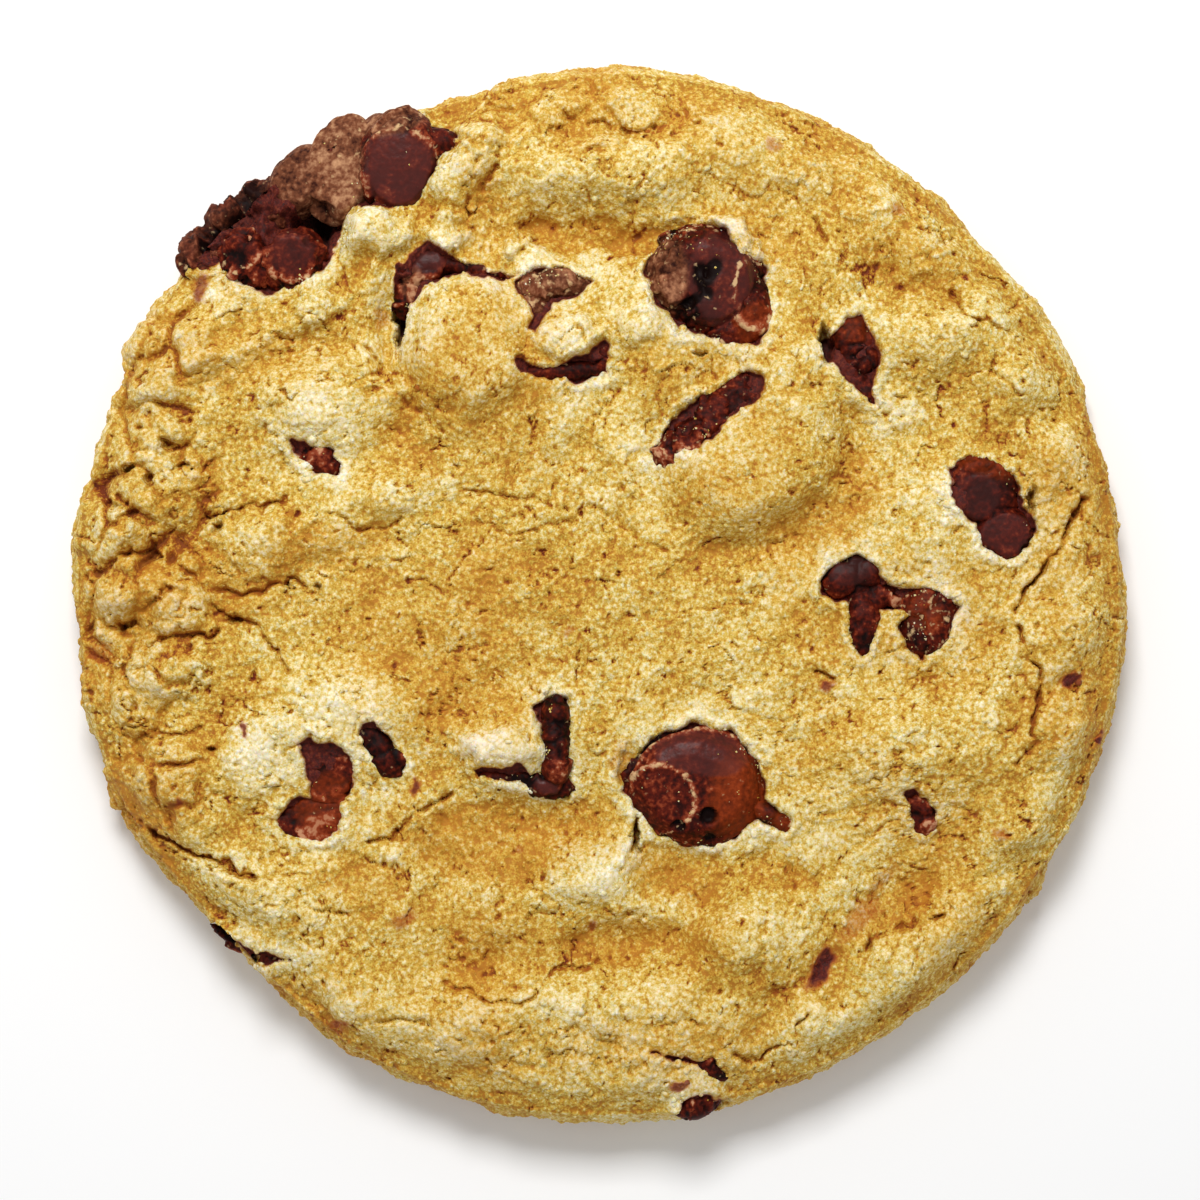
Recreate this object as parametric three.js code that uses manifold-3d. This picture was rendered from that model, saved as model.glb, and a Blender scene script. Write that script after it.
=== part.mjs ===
// A soft-baked chocolate chip cookie, in millimetres. It lies on its flat base in the plane z = 0, with +Z up
// and the origin under its middle. The crust is one solid with a rounded shoulder, domes, ridges and crags.
// Each chocolate chip that shows is a solid of its own, set in a pocket that is open at the top.

import * as THREE from "three";
import { mergeVertices } from "three/addons/utils/BufferGeometryUtils.js";
import Module from "manifold-3d";

// Driving dimensions
const COOKIE_RADIUS = 42.45;
const CRUST_HEIGHT = 8.8; // the crust's own height away from the rim, before domes and hollows
const WAIST_HEIGHT = 2.7; // where the wall is widest
const FOOT_INSET = 1.5; // how far the flat base's edge lies inside the widest line
const SHOULDER_WIDTH = 8.5; // how far in from the edge the top goes on rising
const SHOULDER_POWER = 2.3; // 2 is an elliptical shoulder, and more is a squarer one
const WALL_INSET = 1.3; // where the wall's rows end and the top's grid begins
const SETTLE_WIDTH = 4.2; // domes and hollows fade out over this width at the edge
const RIM_CREST_INSET = 4.4; // the raised ring just inside the edge
const RIM_CREST_WIDTH = 2.3;
const CHIP_GAP = 0.3; // clearance between a chip and its pocket
const CHIP_EQUATOR = 0.8; // how far a chip's widest line lies below the crust around it
const POCKET_TOP = 20; // above everything, so that pockets are open
const BELOW_BASE = 1; // the crust is drawn this far past its base, and then cut off flat

// Fineness of the meshes
const TOP_CELLS = 36;
const WALL_ROWS = 5;
const SMALL_LOBE_SIDES = 8;
const LARGE_LOBE_SIDES = 12;
const LARGE_LOBE_WIDTH = 2.8; // a lobe with at least this half width is a large one
const LOBE_RINGS = 4;

const DEGREE = Math.PI / 180;

// The outline is a circle with shallow flats and bulges: [direction in degrees, spread in degrees, depth]
const OUTLINE_FLATS = [
  [224, 15, 1.35],
  [106, 13, 0.85],
  [45, 20, 0.45],
  [161, 7, 0.4],
  [285, 30, -0.3],
  [342, 20, -0.25],
];

// The raised ring inside the edge comes and goes: [direction in degrees, spread in degrees, height]
const RIM_CRESTS = [
  [92, 26, 1.0],
  [40, 26, 0.45],
  [352, 24, 0.75],
  [310, 20, 0.35],
  [262, 30, 0.5],
  [222, 14, 0.5],
];

// Domes, ridges and hollows of the crust: [x, y, half length, half width, turn in degrees, height, steepness].
// A steepness under 1 gives a full dome with a steep edge, and over 1 a soft swelling.
const NORTH_SWELLS = [
  [0, 33, 10.5, 3.5, 0, 1.7, 1.1],
  [10, 35.3, 7, 2.8, -20, 0.6, 1.2],
  [-9.7, 34.9, 2.6, 2.9, 0, 1.7, 0.8],
  [-12, 31.4, 2.2, 3.2, 0, 1.3, 0.8],
  [-6.3, 27.5, 2.3, 1.8, 0, 0.8, 1],
  [18.5, 25.8, 4.6, 4, 0, 0.6, 1.2],
  [-2.5, 36.9, 7, 1.3, -4, -0.9, 1],
  [-4.6, 28.6, 6.8, 2, 0, -1.4, 1],
  [2, 27, 4.4, 2, 0, -0.9, 1],
  [14.8, 28.5, 3, 4.5, 20, -0.6, 1],
];
const DOME_SWELLS = [
  [-10.6, 19.2, 5, 5.9, 0, 3.1, 0.7],
  [-5, 15, 7, 4.6, 0, 1.1, 1.2],
  [-2.7, 20.5, 3.3, 2.2, 25, 1.9, 0.9],
  [2.8, 22.4, 3.7, 3.7, 0, 1.8, 0.9],
  [5.2, 18.4, 4.6, 4.6, 0, 1.6, 1],
  [15.2, 17.2, 4.3, 4.4, 0, 1.9, 0.9],
  [12.8, 10.1, 7.5, 5.3, 28, 2.9, 0.8],
  [12.4, 3.6, 7, 1.6, 8, -0.9, 1],
  [20.6, 12.6, 2, 4.4, 20, -0.9, 1],
];
const EAST_SWELLS = [
  [25.6, 19.7, 5.5, 3.7, -10, 2.0, 0.9],
  [26.3, 6.2, 3, 5, 10, 1.1, 1],
  [23.6, 2.4, 3.2, 1.7, 0, 0.7, 1],
  [26, -12.2, 9.2, 4.9, 8, 1.7, 1],
  [24.2, -22.8, 7.2, 2.6, 40, -1.2, 1],
  [26.6, -28.4, 8.6, 3.1, 38, 1.6, 0.9],
  [18, -29.6, 2.2, 1.6, 60, -0.9, 1],
];
const SOUTH_SWELLS = [
  [12, -27, 4.9, 4.3, 0, 1.8, 0.9],
  [-1, -22, 4.3, 3.5, 0, 1.6, 0.9],
  [2.5, -27.9, 6, 2.2, 0, -1.0, 1],
  [8.5, -22.4, 5.5, 2.2, -8, -0.8, 1],
  [2, -32.7, 13.5, 2.7, 0, 1.6, 0.9],
  [-11, -34, 6, 2.8, -15, 1.1, 1],
  [-9, -29.2, 5, 1.9, -10, -0.9, 1],
  [-6.2, -12, 6.2, 3.6, 0, 1.5, 0.9],
  [-7.4, -12, 3.5, 1.9, 0, 1.1, 0.6],
  [-4.5, -18.1, 6.2, 1.7, 0, -0.9, 1],
  [5.5, -38.8, 5.5, 2, 0, 0.9, 0.9],
];
const WEST_SWELLS = [
  [-20, -9.6, 8, 4.7, 5, 1.9, 0.9],
  [-27.6, -13.6, 3.7, 4.6, 0, 1.3, 0.9],
  [-12.6, -22.5, 3.1, 2.5, 0, -0.8, 1],
  [-27, -23.4, 8, 2.5, -8, 1.2, 1],
  [-17, -23, 6, 3, 5, 0.7, 1],
  [-22, 15, 6.3, 4.5, 10, 1.7, 0.9],
  [-22.5, 4.6, 7.2, 3, 5, 1.1, 0.8],
  [-16.7, 7.7, 4.1, 2.1, 5, 1.0, 0.8],
  [-21.4, 22.6, 4.6, 2.3, 30, 1.4, 1],
  [-17.6, 28.7, 2.6, 2, -15, 2.3, 0.7],
  [-21.5, 29.4, 1.8, 2.4, 20, -4.6, 0.8],
  [-26.6, 30.4, 6.2, 3.2, 35, -1.9, 1],
  [-16.1, 21.6, 0.9, 3.6, -4, -2.2, 1],
];

// Round knobs of the craggy rim: [x, y, radius]
const KNOB_HEIGHT = 1.25;
const KNOB_STEEPNESS = 0.65;
const RIM_KNOBS = [
  [-37, 17, 3],
  [-33.3, 14.6, 3.5],
  [-37.3, 11.3, 3.1],
  [-34.2, 7.3, 3.3],
  [-38.5, 5, 3.1],
  [-37.6, 0.9, 2.9],
  [-33.1, -0.4, 3.1],
  [-39.6, -2.1, 2.3],
  [-33.8, -5.8, 3.6],
  [-38.6, -9, 2.7],
  [-33.4, -13.4, 3.4],
  [-36.9, -14.6, 2.4],
  [-32.4, -18.1, 2.7],
  [-31.6, 18.4, 3.2],
  [-28.1, 18.8, 2.1],
  [-34.6, 21.2, 2.6],
  [-29.8, 22.6, 2.8],
  [22.2, 31.4, 3],
  [25.9, 27.3, 3.1],
  [31.4, 22.5, 3.2],
  [33, 16.9, 3],
  [36.8, 10.8, 3],
  [36.7, -2.8, 3.5],
  [32.2, -6.9, 2.6],
  [36.8, -11.4, 3.2],
  [35.2, -17.9, 3],
  [17.6, -34.6, 3],
  [-19.4, -33.2, 3],
];

// Chips: each is one or more rounded lobes, [x, y, half length, half width, turn in degrees, rise].
// rise is how far a lobe stands above the crust around it, and sink is how far its chip reaches down into the dough.
const CHIPS = [
  {
    name: "chip_edge_crumbled",
    sink: 4.6,
    lobes: [
      [-29, 28.2, 4.1, 1.9, 44, 1],
      [-26.4, 30.3, 2.1, 1.7, 30, 1.2],
      [-31.3, 26.6, 1.6, 1.2, 20, 0.8],
    ],
  },
  {
    name: "chip_edge_curl",
    sink: 3.4,
    lobes: [
      [-27.6, 26.3, 2.2, 1.5, -42, 1.2],
      [-24, 26.2, 2.4, 2, 35, 1.4],
    ],
  },
  { name: "chip_edge_nugget", sink: 4.4, lobes: [[-23.5, 32.6, 2.4, 1.4, 52, 1.5]] },
  { name: "chip_edge_slab", sink: 4.6, lobes: [[-20.3, 33.4, 1.9, 3.7, -14, 1.2]] },
  {
    name: "chip_edge_cap",
    sink: 4.6,
    lobes: [
      [-15.5, 33.9, 3.1, 4.2, -10, 2],
      [-12.7, 35.1, 2.1, 1.3, 12, 0.9],
      [-17.2, 36.2, 1.6, 1.9, -30, 1.2],
    ],
  },
  {
    name: "chip_under_dome",
    sink: 4.2,
    lobes: [
      [-13.7, 25.8, 2.4, 1.5, 20, 0.2],
      [-10.1, 25.6, 2.9, 0.8, -14, 0],
      [-14.9, 23.4, 0.8, 1.8, -18, -0.3],
    ],
  },
  {
    name: "chip_dusted",
    sink: 3.6,
    lobes: [
      [-3.6, 24.2, 3.1, 1.2, 2, 0.5],
      [-4.9, 22.4, 1, 1.9, 10, 0.2],
    ],
  },
  {
    name: "chip_dome_sliver",
    sink: 3.4,
    lobes: [
      [-2.9, 17.4, 3.6, 0.75, 4, 0],
      [0.4, 18.4, 0.85, 1.7, -8, 0.1],
    ],
  },
  {
    name: "chip_pitted",
    sink: 4.6,
    lobes: [
      [8.3, 24.6, 4.5, 4.2, -15, 2.3],
      [11.9, 22.4, 1.8, 3.2, 0, 1.3],
      [10.6, 20.6, 2.2, 1.3, 15, 0.8],
    ],
  },
  { name: "chip_long_sliver", sink: 3.6, lobes: [[9.2, 13.7, 5.6, 1.6, 38, 0.2]] },
  {
    name: "chip_wedge",
    sink: 3.8,
    lobes: [
      [20.4, 19.4, 1.7, 2.9, 12, 0.1],
      [20.7, 16.4, 1.2, 2.3, 38, 0],
    ],
  },
  {
    name: "chip_two_lobed",
    sink: 4.4,
    lobes: [
      [30.2, 8, 3.2, 2.9, -35, 0.7],
      [32.1, 4.6, 2.3, 2.1, 0, 0.7],
    ],
  },
  {
    name: "chip_hooked",
    sink: 4,
    lobes: [
      [20, 1.4, 2.9, 1.7, 15, 0.2],
      [20.9, -2.4, 1.3, 2.7, 6, 0],
      [21.9, -0.3, 1.7, 1, 10, -0.3],
    ],
  },
  { name: "chip_rounded", sink: 4, lobes: [[26, -2.3, 2.2, 2.9, -12, 0.3]] },
  { name: "chip_west_small", sink: 3.4, lobes: [[-21.8, 10.7, 2.5, 1.2, -32, 0]] },
  {
    name: "chip_boot",
    sink: 4.2,
    lobes: [
      [-21.5, -14.1, 2, 3, 4, 0.1],
      [-22.6, -17.9, 3.2, 1.6, 8, 0.1],
    ],
  },
  { name: "chip_slanted", sink: 3.4, lobes: [[-17.2, -12.3, 2.7, 1.3, -50, 0]] },
  {
    name: "chip_arch",
    sink: 4.2,
    lobes: [
      [-3.3, -11.6, 0.95, 3.6, 0, 0.1],
      [-5.7, -14.9, 4.1, 0.95, -6, 0],
    ],
  },
  {
    name: "chip_round_disc",
    sink: 4.4,
    lobes: [
      [7.6, -15.1, 5.6, 4.8, -10, 1.7],
      [13.7, -17.6, 1.9, 0.9, -32, 0.2],
    ],
  },
  { name: "chip_east_small", sink: 3, lobes: [[25.4, -17.1, 1.4, 1.8, 20, 0]] },
  {
    name: "chip_wall_west",
    sink: 2.8,
    lobes: [
      [-29.3, -27.4, 2.5, 0.95, -32, 0.3],
      [-26.2, -28.5, 2.1, 0.85, -16, 0.3],
    ],
  },
  {
    name: "chip_crack_south",
    sink: 3.2,
    lobes: [
      [3.9, -35.9, 1.9, 0.7, -6, -0.2],
      [8, -37, 2.9, 0.8, -18, -0.2],
    ],
  },
  { name: "chip_wall_south", sink: 2.6, lobes: [[7.6, -40.3, 2.1, 1.2, 8, 0.4]] },
];

const CRUST_COLOUR = 0xd8a850;
const CHOCOLATE_COLOUR = 0x4a1f16;
const BLOOMED_CHOCOLATE_COLOUR = 0x7a4a34;
const BLOOMED_CHIPS = ["chip_edge_slab", "chip_edge_nugget", "chip_dusted"];

// A smooth bell round one direction, for what comes and goes along the edge.
function bellByAngle(angle, direction, spread) {
  const turn = Math.atan2(Math.sin(angle - direction * DEGREE), Math.cos(angle - direction * DEGREE));
  return Math.exp(-((turn / (spread * DEGREE)) ** 2));
}

function outlineRadius(angle) {
  const depth = OUTLINE_FLATS.reduce((sum, [way, spread, flat]) => sum + flat * bellByAngle(angle, way, spread), 0);
  return COOKIE_RADIUS - depth;
}

// A swelling's height at a point: full in the middle, and none from its oval's edge outwards.
function swelling([x, y, halfLength, halfWidth, turn, height, steepness], px, py) {
  const cos = Math.cos(turn * DEGREE);
  const sin = Math.sin(turn * DEGREE);
  const along = ((px - x) * cos + (py - y) * sin) / halfLength;
  const across = ((py - y) * cos - (px - x) * sin) / halfWidth;
  const inside = 1 - along * along - across * across;
  return inside > 0 ? height * inside ** steepness : 0;
}

const KNOBS = RIM_KNOBS.map(([x, y, radius]) => [x, y, radius, radius, 0, KNOB_HEIGHT, KNOB_STEEPNESS]);
const SWELLS = [...NORTH_SWELLS, ...DOME_SWELLS, ...EAST_SWELLS, ...SOUTH_SWELLS, ...WEST_SWELLS, ...KNOBS];

// Low uneven relief between the domes, from three crossed waves.
function unevenness(x, y) {
  return (
    0.16 * Math.sin(0.9 * x + 0.5 * y) * Math.sin(0.7 * y - 0.3 * x) +
    0.1 * Math.sin(1.7 * x - 1.1 * y + 1.3) +
    0.08 * Math.sin(2.3 * y + 0.8 * x)
  );
}

function shoulderHeight(inset) {
  const share = THREE.MathUtils.clamp(inset / SHOULDER_WIDTH, 0, 1);
  const rise = (1 - (1 - share) ** SHOULDER_POWER) ** (1 / SHOULDER_POWER);
  return WAIST_HEIGHT + (CRUST_HEIGHT - WAIST_HEIGHT) * rise;
}

// The crust's height above the base at a point, before the pockets are cut.
function crustHeight(x, y) {
  const angle = Math.atan2(y, x);
  const inset = outlineRadius(angle) - Math.hypot(x, y);
  const settled = THREE.MathUtils.smoothstep(inset, 0, SETTLE_WIDTH);
  const crest = RIM_CRESTS.reduce((sum, [way, spread, rise]) => sum + rise * bellByAngle(angle, way, spread), 0);
  const ring = crest * Math.exp(-(((inset - RIM_CREST_INSET) / RIM_CREST_WIDTH) ** 2));
  const relief = SWELLS.reduce((sum, swell) => sum + swelling(swell, x, y), unevenness(x, y) + ring);
  return shoulderHeight(inset) + settled * relief;
}

// Takes a point of the square from -1 to 1 to the unit disc, keeping areas alike: gives radius share and angle.
function squareToDisc(u, v) {
  if (u === 0 && v === 0) return [0, 0];
  if (Math.abs(u) > Math.abs(v)) {
    return [Math.abs(u), (Math.PI / 4) * (v / u) + (u < 0 ? Math.PI : 0)];
  }
  return [Math.abs(v), Math.PI / 2 - (Math.PI / 4) * (u / v) + (v < 0 ? Math.PI : 0)];
}

// The crust is a box drawn out to a cookie: its top grid becomes the relief and its sides the wall.
// Its floor lies a little too low, and is cut off later.
function crustPoint(u, v, w) {
  const [share, angle] = squareToDisc(u, v);
  const edge = outlineRadius(angle);
  if (w > 0.999) {
    const radius = share * (edge - WALL_INSET);
    const x = radius * Math.cos(angle);
    const y = radius * Math.sin(angle);
    return [x, y, crustHeight(x, y)];
  }
  if (w < -0.999) {
    const radius = share * (edge - FOOT_INSET - BELOW_BASE);
    return [radius * Math.cos(angle), radius * Math.sin(angle), -BELOW_BASE];
  }
  if (w < 0) {
    // A quarter of an ellipse, from the foot out to the widest line.
    const turn = (1 + w) * (Math.PI / 2);
    const radius = edge - FOOT_INSET * (1 - Math.sin(turn));
    return [radius * Math.cos(angle), radius * Math.sin(angle), WAIST_HEIGHT * (1 - Math.cos(turn))];
  }
  const radius = edge - WALL_INSET * w * w;
  const x = radius * Math.cos(angle);
  const y = radius * Math.sin(angle);
  return [x, y, crustHeight(x, y)];
}

const wasm = await Module();
wasm.setup();

function toSolid(geometry) {
  geometry.deleteAttribute("normal");
  geometry.deleteAttribute("uv");
  const merged = mergeVertices(geometry, 1e-4);
  return new wasm.Manifold(
    new wasm.Mesh({
      numProp: 3,
      vertProperties: merged.attributes.position.array,
      triVerts: new Uint32Array(merged.index.array),
    }),
  );
}

function toGeometry(solid) {
  const mesh = solid.getMesh();
  const geometry = new THREE.BufferGeometry();
  geometry.setAttribute("position", new THREE.BufferAttribute(mesh.vertProperties, 3));
  geometry.setIndex(new THREE.BufferAttribute(mesh.triVerts, 1));
  geometry.computeVertexNormals();
  return geometry;
}

function wholeCrust() {
  const box = new THREE.BoxGeometry(2, 2, 2, TOP_CELLS, TOP_CELLS, WALL_ROWS);
  const points = box.getAttribute("position");
  for (let i = 0; i < points.count; i++) {
    points.setXYZ(i, ...crustPoint(points.getX(i), points.getY(i), points.getZ(i)));
  }
  const aboveBase = new THREE.BoxGeometry(4 * COOKIE_RADIUS, 4 * COOKIE_RADIUS, 2 * POCKET_TOP);
  aboveBase.translate(0, 0, POCKET_TOP);
  return toSolid(box).intersect(toSolid(aboveBase));
}

function lobeSides(halfWidth) {
  return halfWidth < LARGE_LOBE_WIDTH ? SMALL_LOBE_SIDES : LARGE_LOBE_SIDES;
}

// An oval pebble, flatter above its widest line than below it. grow widens it all round.
function pebble([x, y, halfLength, halfWidth, turn, rise], sink, grow) {
  const sphere = new THREE.SphereGeometry(1, lobeSides(halfWidth), LOBE_RINGS);
  sphere.rotateX(Math.PI / 2);
  const middle = crustHeight(x, y) - CHIP_EQUATOR;
  const points = sphere.getAttribute("position");
  for (let i = 0; i < points.count; i++) {
    const height = points.getZ(i);
    const reach = height > 0 ? CHIP_EQUATOR + rise + grow : sink - CHIP_EQUATOR + grow;
    points.setXYZ(i, points.getX(i) * (halfLength + grow), points.getY(i) * (halfWidth + grow), height * reach);
  }
  sphere.rotateZ(turn * DEGREE);
  sphere.translate(x, y, middle);
  return toSolid(sphere);
}

// The pocket for a lobe: the pebble grown by the gap, and a shaft of its outline up through the crust.
function pocket(lobe, sink) {
  const [x, y, halfLength, halfWidth, turn] = lobe;
  const middle = crustHeight(x, y) - CHIP_EQUATOR;
  const shaft = new THREE.CylinderGeometry(1, 1, POCKET_TOP - middle, lobeSides(halfWidth));
  shaft.rotateX(Math.PI / 2);
  shaft.scale(halfLength + CHIP_GAP, halfWidth + CHIP_GAP, 1);
  shaft.rotateZ(turn * DEGREE);
  shaft.translate(x, y, (POCKET_TOP + middle) / 2);
  return pebble(lobe, sink, CHIP_GAP).add(toSolid(shaft));
}

function joined(solids) {
  return solids.reduce((all, solid) => all.add(solid));
}

function namedMesh(name, solid, colour, roughness) {
  const mesh = new THREE.Mesh(
    toGeometry(solid),
    new THREE.MeshStandardMaterial({ color: colour, roughness, metalness: 0 }),
  );
  mesh.name = name;
  return mesh;
}

const cookie = new THREE.Group();
let crust = wholeCrust();
const grownChips = [];
for (const { name, sink, lobes } of CHIPS) {
  // Where two chips touch, the later one is cut clear of those before it.
  const whole = joined(lobes.map((lobe) => pebble(lobe, sink, 0)));
  const clear = grownChips.reduce((solid, neighbour) => solid.subtract(neighbour), whole);
  grownChips.push(joined(lobes.map((lobe) => pebble(lobe, sink, CHIP_GAP))));
  crust = crust.subtract(joined(lobes.map((lobe) => pocket(lobe, sink))));

  const colour = BLOOMED_CHIPS.includes(name) ? BLOOMED_CHOCOLATE_COLOUR : CHOCOLATE_COLOUR;
  cookie.add(namedMesh(name, clear, colour, 0.4));
}
cookie.add(namedMesh("cookie_crust", crust, CRUST_COLOUR, 0.9));

export default cookie;
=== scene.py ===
# %% [markdown]
# # A soft-baked chocolate chip cookie
#
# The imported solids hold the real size: the outline, the domes and hollows of the crust, and the place of
# every chocolate piece. This lesson dresses them for a close photograph. It reads their form off the frame,
# and makes a granular, cracked crust, worn chocolate and loose crumbs over it. All sizes are in
# millimetres, and they become metres only where a mesh is made.

import itertools
import math

import bmesh
import bpy
import numpy as np
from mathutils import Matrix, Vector
from mathutils.bvhtree import BVHTree


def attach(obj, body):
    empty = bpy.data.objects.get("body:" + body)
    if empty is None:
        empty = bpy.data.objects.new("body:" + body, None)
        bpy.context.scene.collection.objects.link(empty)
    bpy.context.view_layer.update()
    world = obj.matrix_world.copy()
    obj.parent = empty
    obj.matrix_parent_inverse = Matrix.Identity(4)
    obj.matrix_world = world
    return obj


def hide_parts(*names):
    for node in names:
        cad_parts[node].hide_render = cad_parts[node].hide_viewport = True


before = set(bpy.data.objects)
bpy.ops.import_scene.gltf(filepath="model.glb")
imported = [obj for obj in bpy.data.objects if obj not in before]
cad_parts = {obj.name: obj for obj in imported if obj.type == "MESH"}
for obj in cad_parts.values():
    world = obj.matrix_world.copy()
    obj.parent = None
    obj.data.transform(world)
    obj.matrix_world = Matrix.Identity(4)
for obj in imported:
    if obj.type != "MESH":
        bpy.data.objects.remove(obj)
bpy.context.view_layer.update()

MM = 0.001
CRUST = "cookie_crust"
CHIPS = sorted(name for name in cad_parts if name.startswith("chip_"))
print("packed solids:", CRUST, "and", len(CHIPS), "pieces of chocolate")

# %% [markdown]
# ## Noise
#
# A baked surface is uneven at every scale, so most of it is made with four kinds of seeded noise. Smooth
# noise makes swellings and blotches. Faceted noise tilts a flat face round each centre, for broken
# chocolate. Cell noise makes grains, crumbs and the cracks between them, because its distances to scattered
# centres form domes with creases between. Sums of smooth noise at halving sizes make ragged forms. They are
# written with numpy, which handles all points at once and gives the same values on every run.

# %% Noise functions
def random_share(ix, iy, iz, seed):
    """A random share from 0 to 1 for each whole-numbered place."""
    mixed = (ix * 73856093) ^ (iy * 19349663) ^ (iz * 83492791) ^ (seed * 50331653)
    mixed = mixed.astype(np.uint32)
    mixed = (mixed ^ (mixed >> np.uint32(16))) * np.uint32(2246822519)
    mixed = (mixed ^ (mixed >> np.uint32(13))) * np.uint32(3266489917)
    return (mixed ^ (mixed >> np.uint32(16))) / 4294967296.0


def smooth_noise(point, size, seed):
    """Smooth noise from -1 to 1, with bumps about size wide, at a point given as three arrays."""
    scaled = [axis / size for axis in point]
    low = [np.floor(axis).astype(np.int64) for axis in scaled]
    part = [(axis - corner) ** 2 * (3 - 2 * (axis - corner)) for axis, corner in zip(scaled, low)]
    total = np.zeros_like(scaled[0])
    for step in itertools.product((0, 1), repeat=3):
        weight = np.ones_like(total)
        for share, side in zip(part, step):
            weight *= share if side else 1 - share
        total += weight * random_share(low[0] + step[0], low[1] + step[1], low[2] + step[2], seed)
    return 2 * total - 1


def ragged_noise(point, size, seed, octaves=3):
    """Smooth noise summed at halving sizes and strengths, about from -1 to 1."""
    layers = [smooth_noise(point, size / 2**k, seed + 17 * k) / 2**k for k in range(octaves)]
    return sum(layers) / 1.3


def cell_noise(point, size, seed):
    """Distances to the nearest and the next scattered centre, in cells, and the nearest one's share."""
    scaled = [axis / size for axis in point]
    low = [np.floor(axis).astype(np.int64) for axis in scaled]
    nearest = np.full(scaled[0].shape, 9.0)
    second = nearest.copy()
    share = np.zeros_like(nearest)
    for step in itertools.product((-1, 0, 1), repeat=3):
        place = [axis + move for axis, move in zip(low, step)]
        distance = np.zeros_like(nearest)
        for k in range(3):
            distance += (place[k] + random_share(*place, seed + k) - scaled[k]) ** 2
        closer = distance < nearest
        second = np.where(closer, nearest, np.minimum(second, distance))
        share = np.where(closer, random_share(*place, seed + 3), share)
        nearest = np.where(closer, distance, nearest)
    return np.sqrt(nearest), np.sqrt(second), share


def facet_noise(point, size, seed):
    """A flat face for each scattered centre, tilted at random, and how near its edge each point is."""
    scaled = [axis / size for axis in point]
    low = [np.floor(axis).astype(np.int64) for axis in scaled]
    nearest = np.full(scaled[0].shape, 9.0)
    second = nearest.copy()
    face = np.zeros_like(nearest)
    for step in itertools.product((-1, 0, 1), repeat=3):
        place = [axis + move for axis, move in zip(low, step)]
        away = [scaled[k] - place[k] - random_share(*place, seed + k) for k in range(3)]
        distance = sum(axis**2 for axis in away)
        tilted = sum(axis * (random_share(*place, seed + 5 + k) - 0.5) for k, axis in enumerate(away))
        closer = distance < nearest
        second = np.where(closer, nearest, np.minimum(second, distance))
        face = np.where(closer, tilted + 0.4 * random_share(*place, seed + 9) - 0.2, face)
        nearest = np.where(closer, distance, nearest)
    return face, np.sqrt(second) - np.sqrt(nearest)

# %% Steps and blurs

def between(low, high, value):
    """0 below low, 1 above high, and a smooth step from one to the other."""
    share = np.clip((value - low) / (high - low), 0, 1)
    return share * share * (3 - 2 * share)


def blurred(field, width, spacing):
    """A square grid of values, averaged over about width millimetres by three box blurs."""
    reach = max(1, round(width / spacing))
    for _ in range(3):
        for axis in (0, 1):
            pad = [(reach + 1, reach) if k == axis else (0, 0) for k in (0, 1)]
            running = np.cumsum(np.pad(field, pad, mode="edge"), axis=axis)
            count = running.shape[axis]
            upper = np.take(running, range(2 * reach + 1, count), axis=axis)
            lower = np.take(running, range(count - 2 * reach - 1), axis=axis)
            field = (upper - lower) / (2 * reach + 1)
    return field


sample = ragged_noise(tuple(np.mgrid[0:9:0.5, 0:9:0.5, 0:9:0.5]), 2.0, 1)
print("ragged noise runs from", sample.min().round(2), "to", sample.max().round(2))

# %% [markdown]
# ## The crust's form, off the frame
#
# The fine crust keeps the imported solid's form, so that form is measured and not typed again. Rays from
# above give the height of the crust at each place, and level rays give its outline. Level rays are cast low
# on the wall, below every pocket. The rays that fall into a pocket measure its floor, so those heights are
# thrown away and grown again from the crust around them, as a sheet stretched over the hole would lie.

# %% Cast rays at the solids
WAIST_HEIGHT = 2.7  # where the solid's wall is widest
FOOT_INSET = 1.5
SHOULDER_WIDTH = 8.5
SHOULDER_POWER = 2.3
WALL_INSET = 1.3  # where the top's grid ends and the wall's rows begin
OUTLINE_LEVEL = 1.0  # below every pocket
FAR = 60.0
OUTLINE_STEPS = 720
TOP_CELLS = 560
MEASURE_EVERY = 4  # the solid is measured at every fourth point of the fine grid
TOP_SPACING = 2 * 41.0 / TOP_CELLS


def ray_tree(*names):
    """The named nodes' faces as one tree for rays, in millimetres."""
    points = []
    faces = []
    for name in names:
        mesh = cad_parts[name].data
        first = len(points)
        points += [vertex.co / MM for vertex in mesh.vertices]
        faces += [[first + corner for corner in face.vertices] for face in mesh.polygons]
    return BVHTree.FromPolygons(points, faces)


def heights(tree, x, y, missing):
    """The height that a ray from above meets at each place, and missing where it meets nothing."""
    found = np.full(x.shape, missing)
    down = Vector((0, 0, -1))
    for place in np.ndindex(x.shape):
        hit = tree.ray_cast(Vector((x[place], y[place], FAR)), down)[0]
        if hit is not None:
            found[place] = hit.z
    return found


# %% Measure the outline
def measured_outline(tree):
    """The widest radius at evenly spread angles, from the radius at OUTLINE_LEVEL."""
    turn = math.acos(1 - OUTLINE_LEVEL / WAIST_HEIGHT)
    step_out = FOOT_INSET * (1 - math.sin(turn))
    radii = []
    for k in range(OUTLINE_STEPS):
        angle = 2 * math.pi * k / OUTLINE_STEPS
        outward = Vector((math.cos(angle), math.sin(angle), 0))
        start = outward * FAR + Vector((0, 0, OUTLINE_LEVEL))
        radii.append(FAR - tree.ray_cast(start, -outward)[3] + step_out)
    return np.array(radii)


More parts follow.
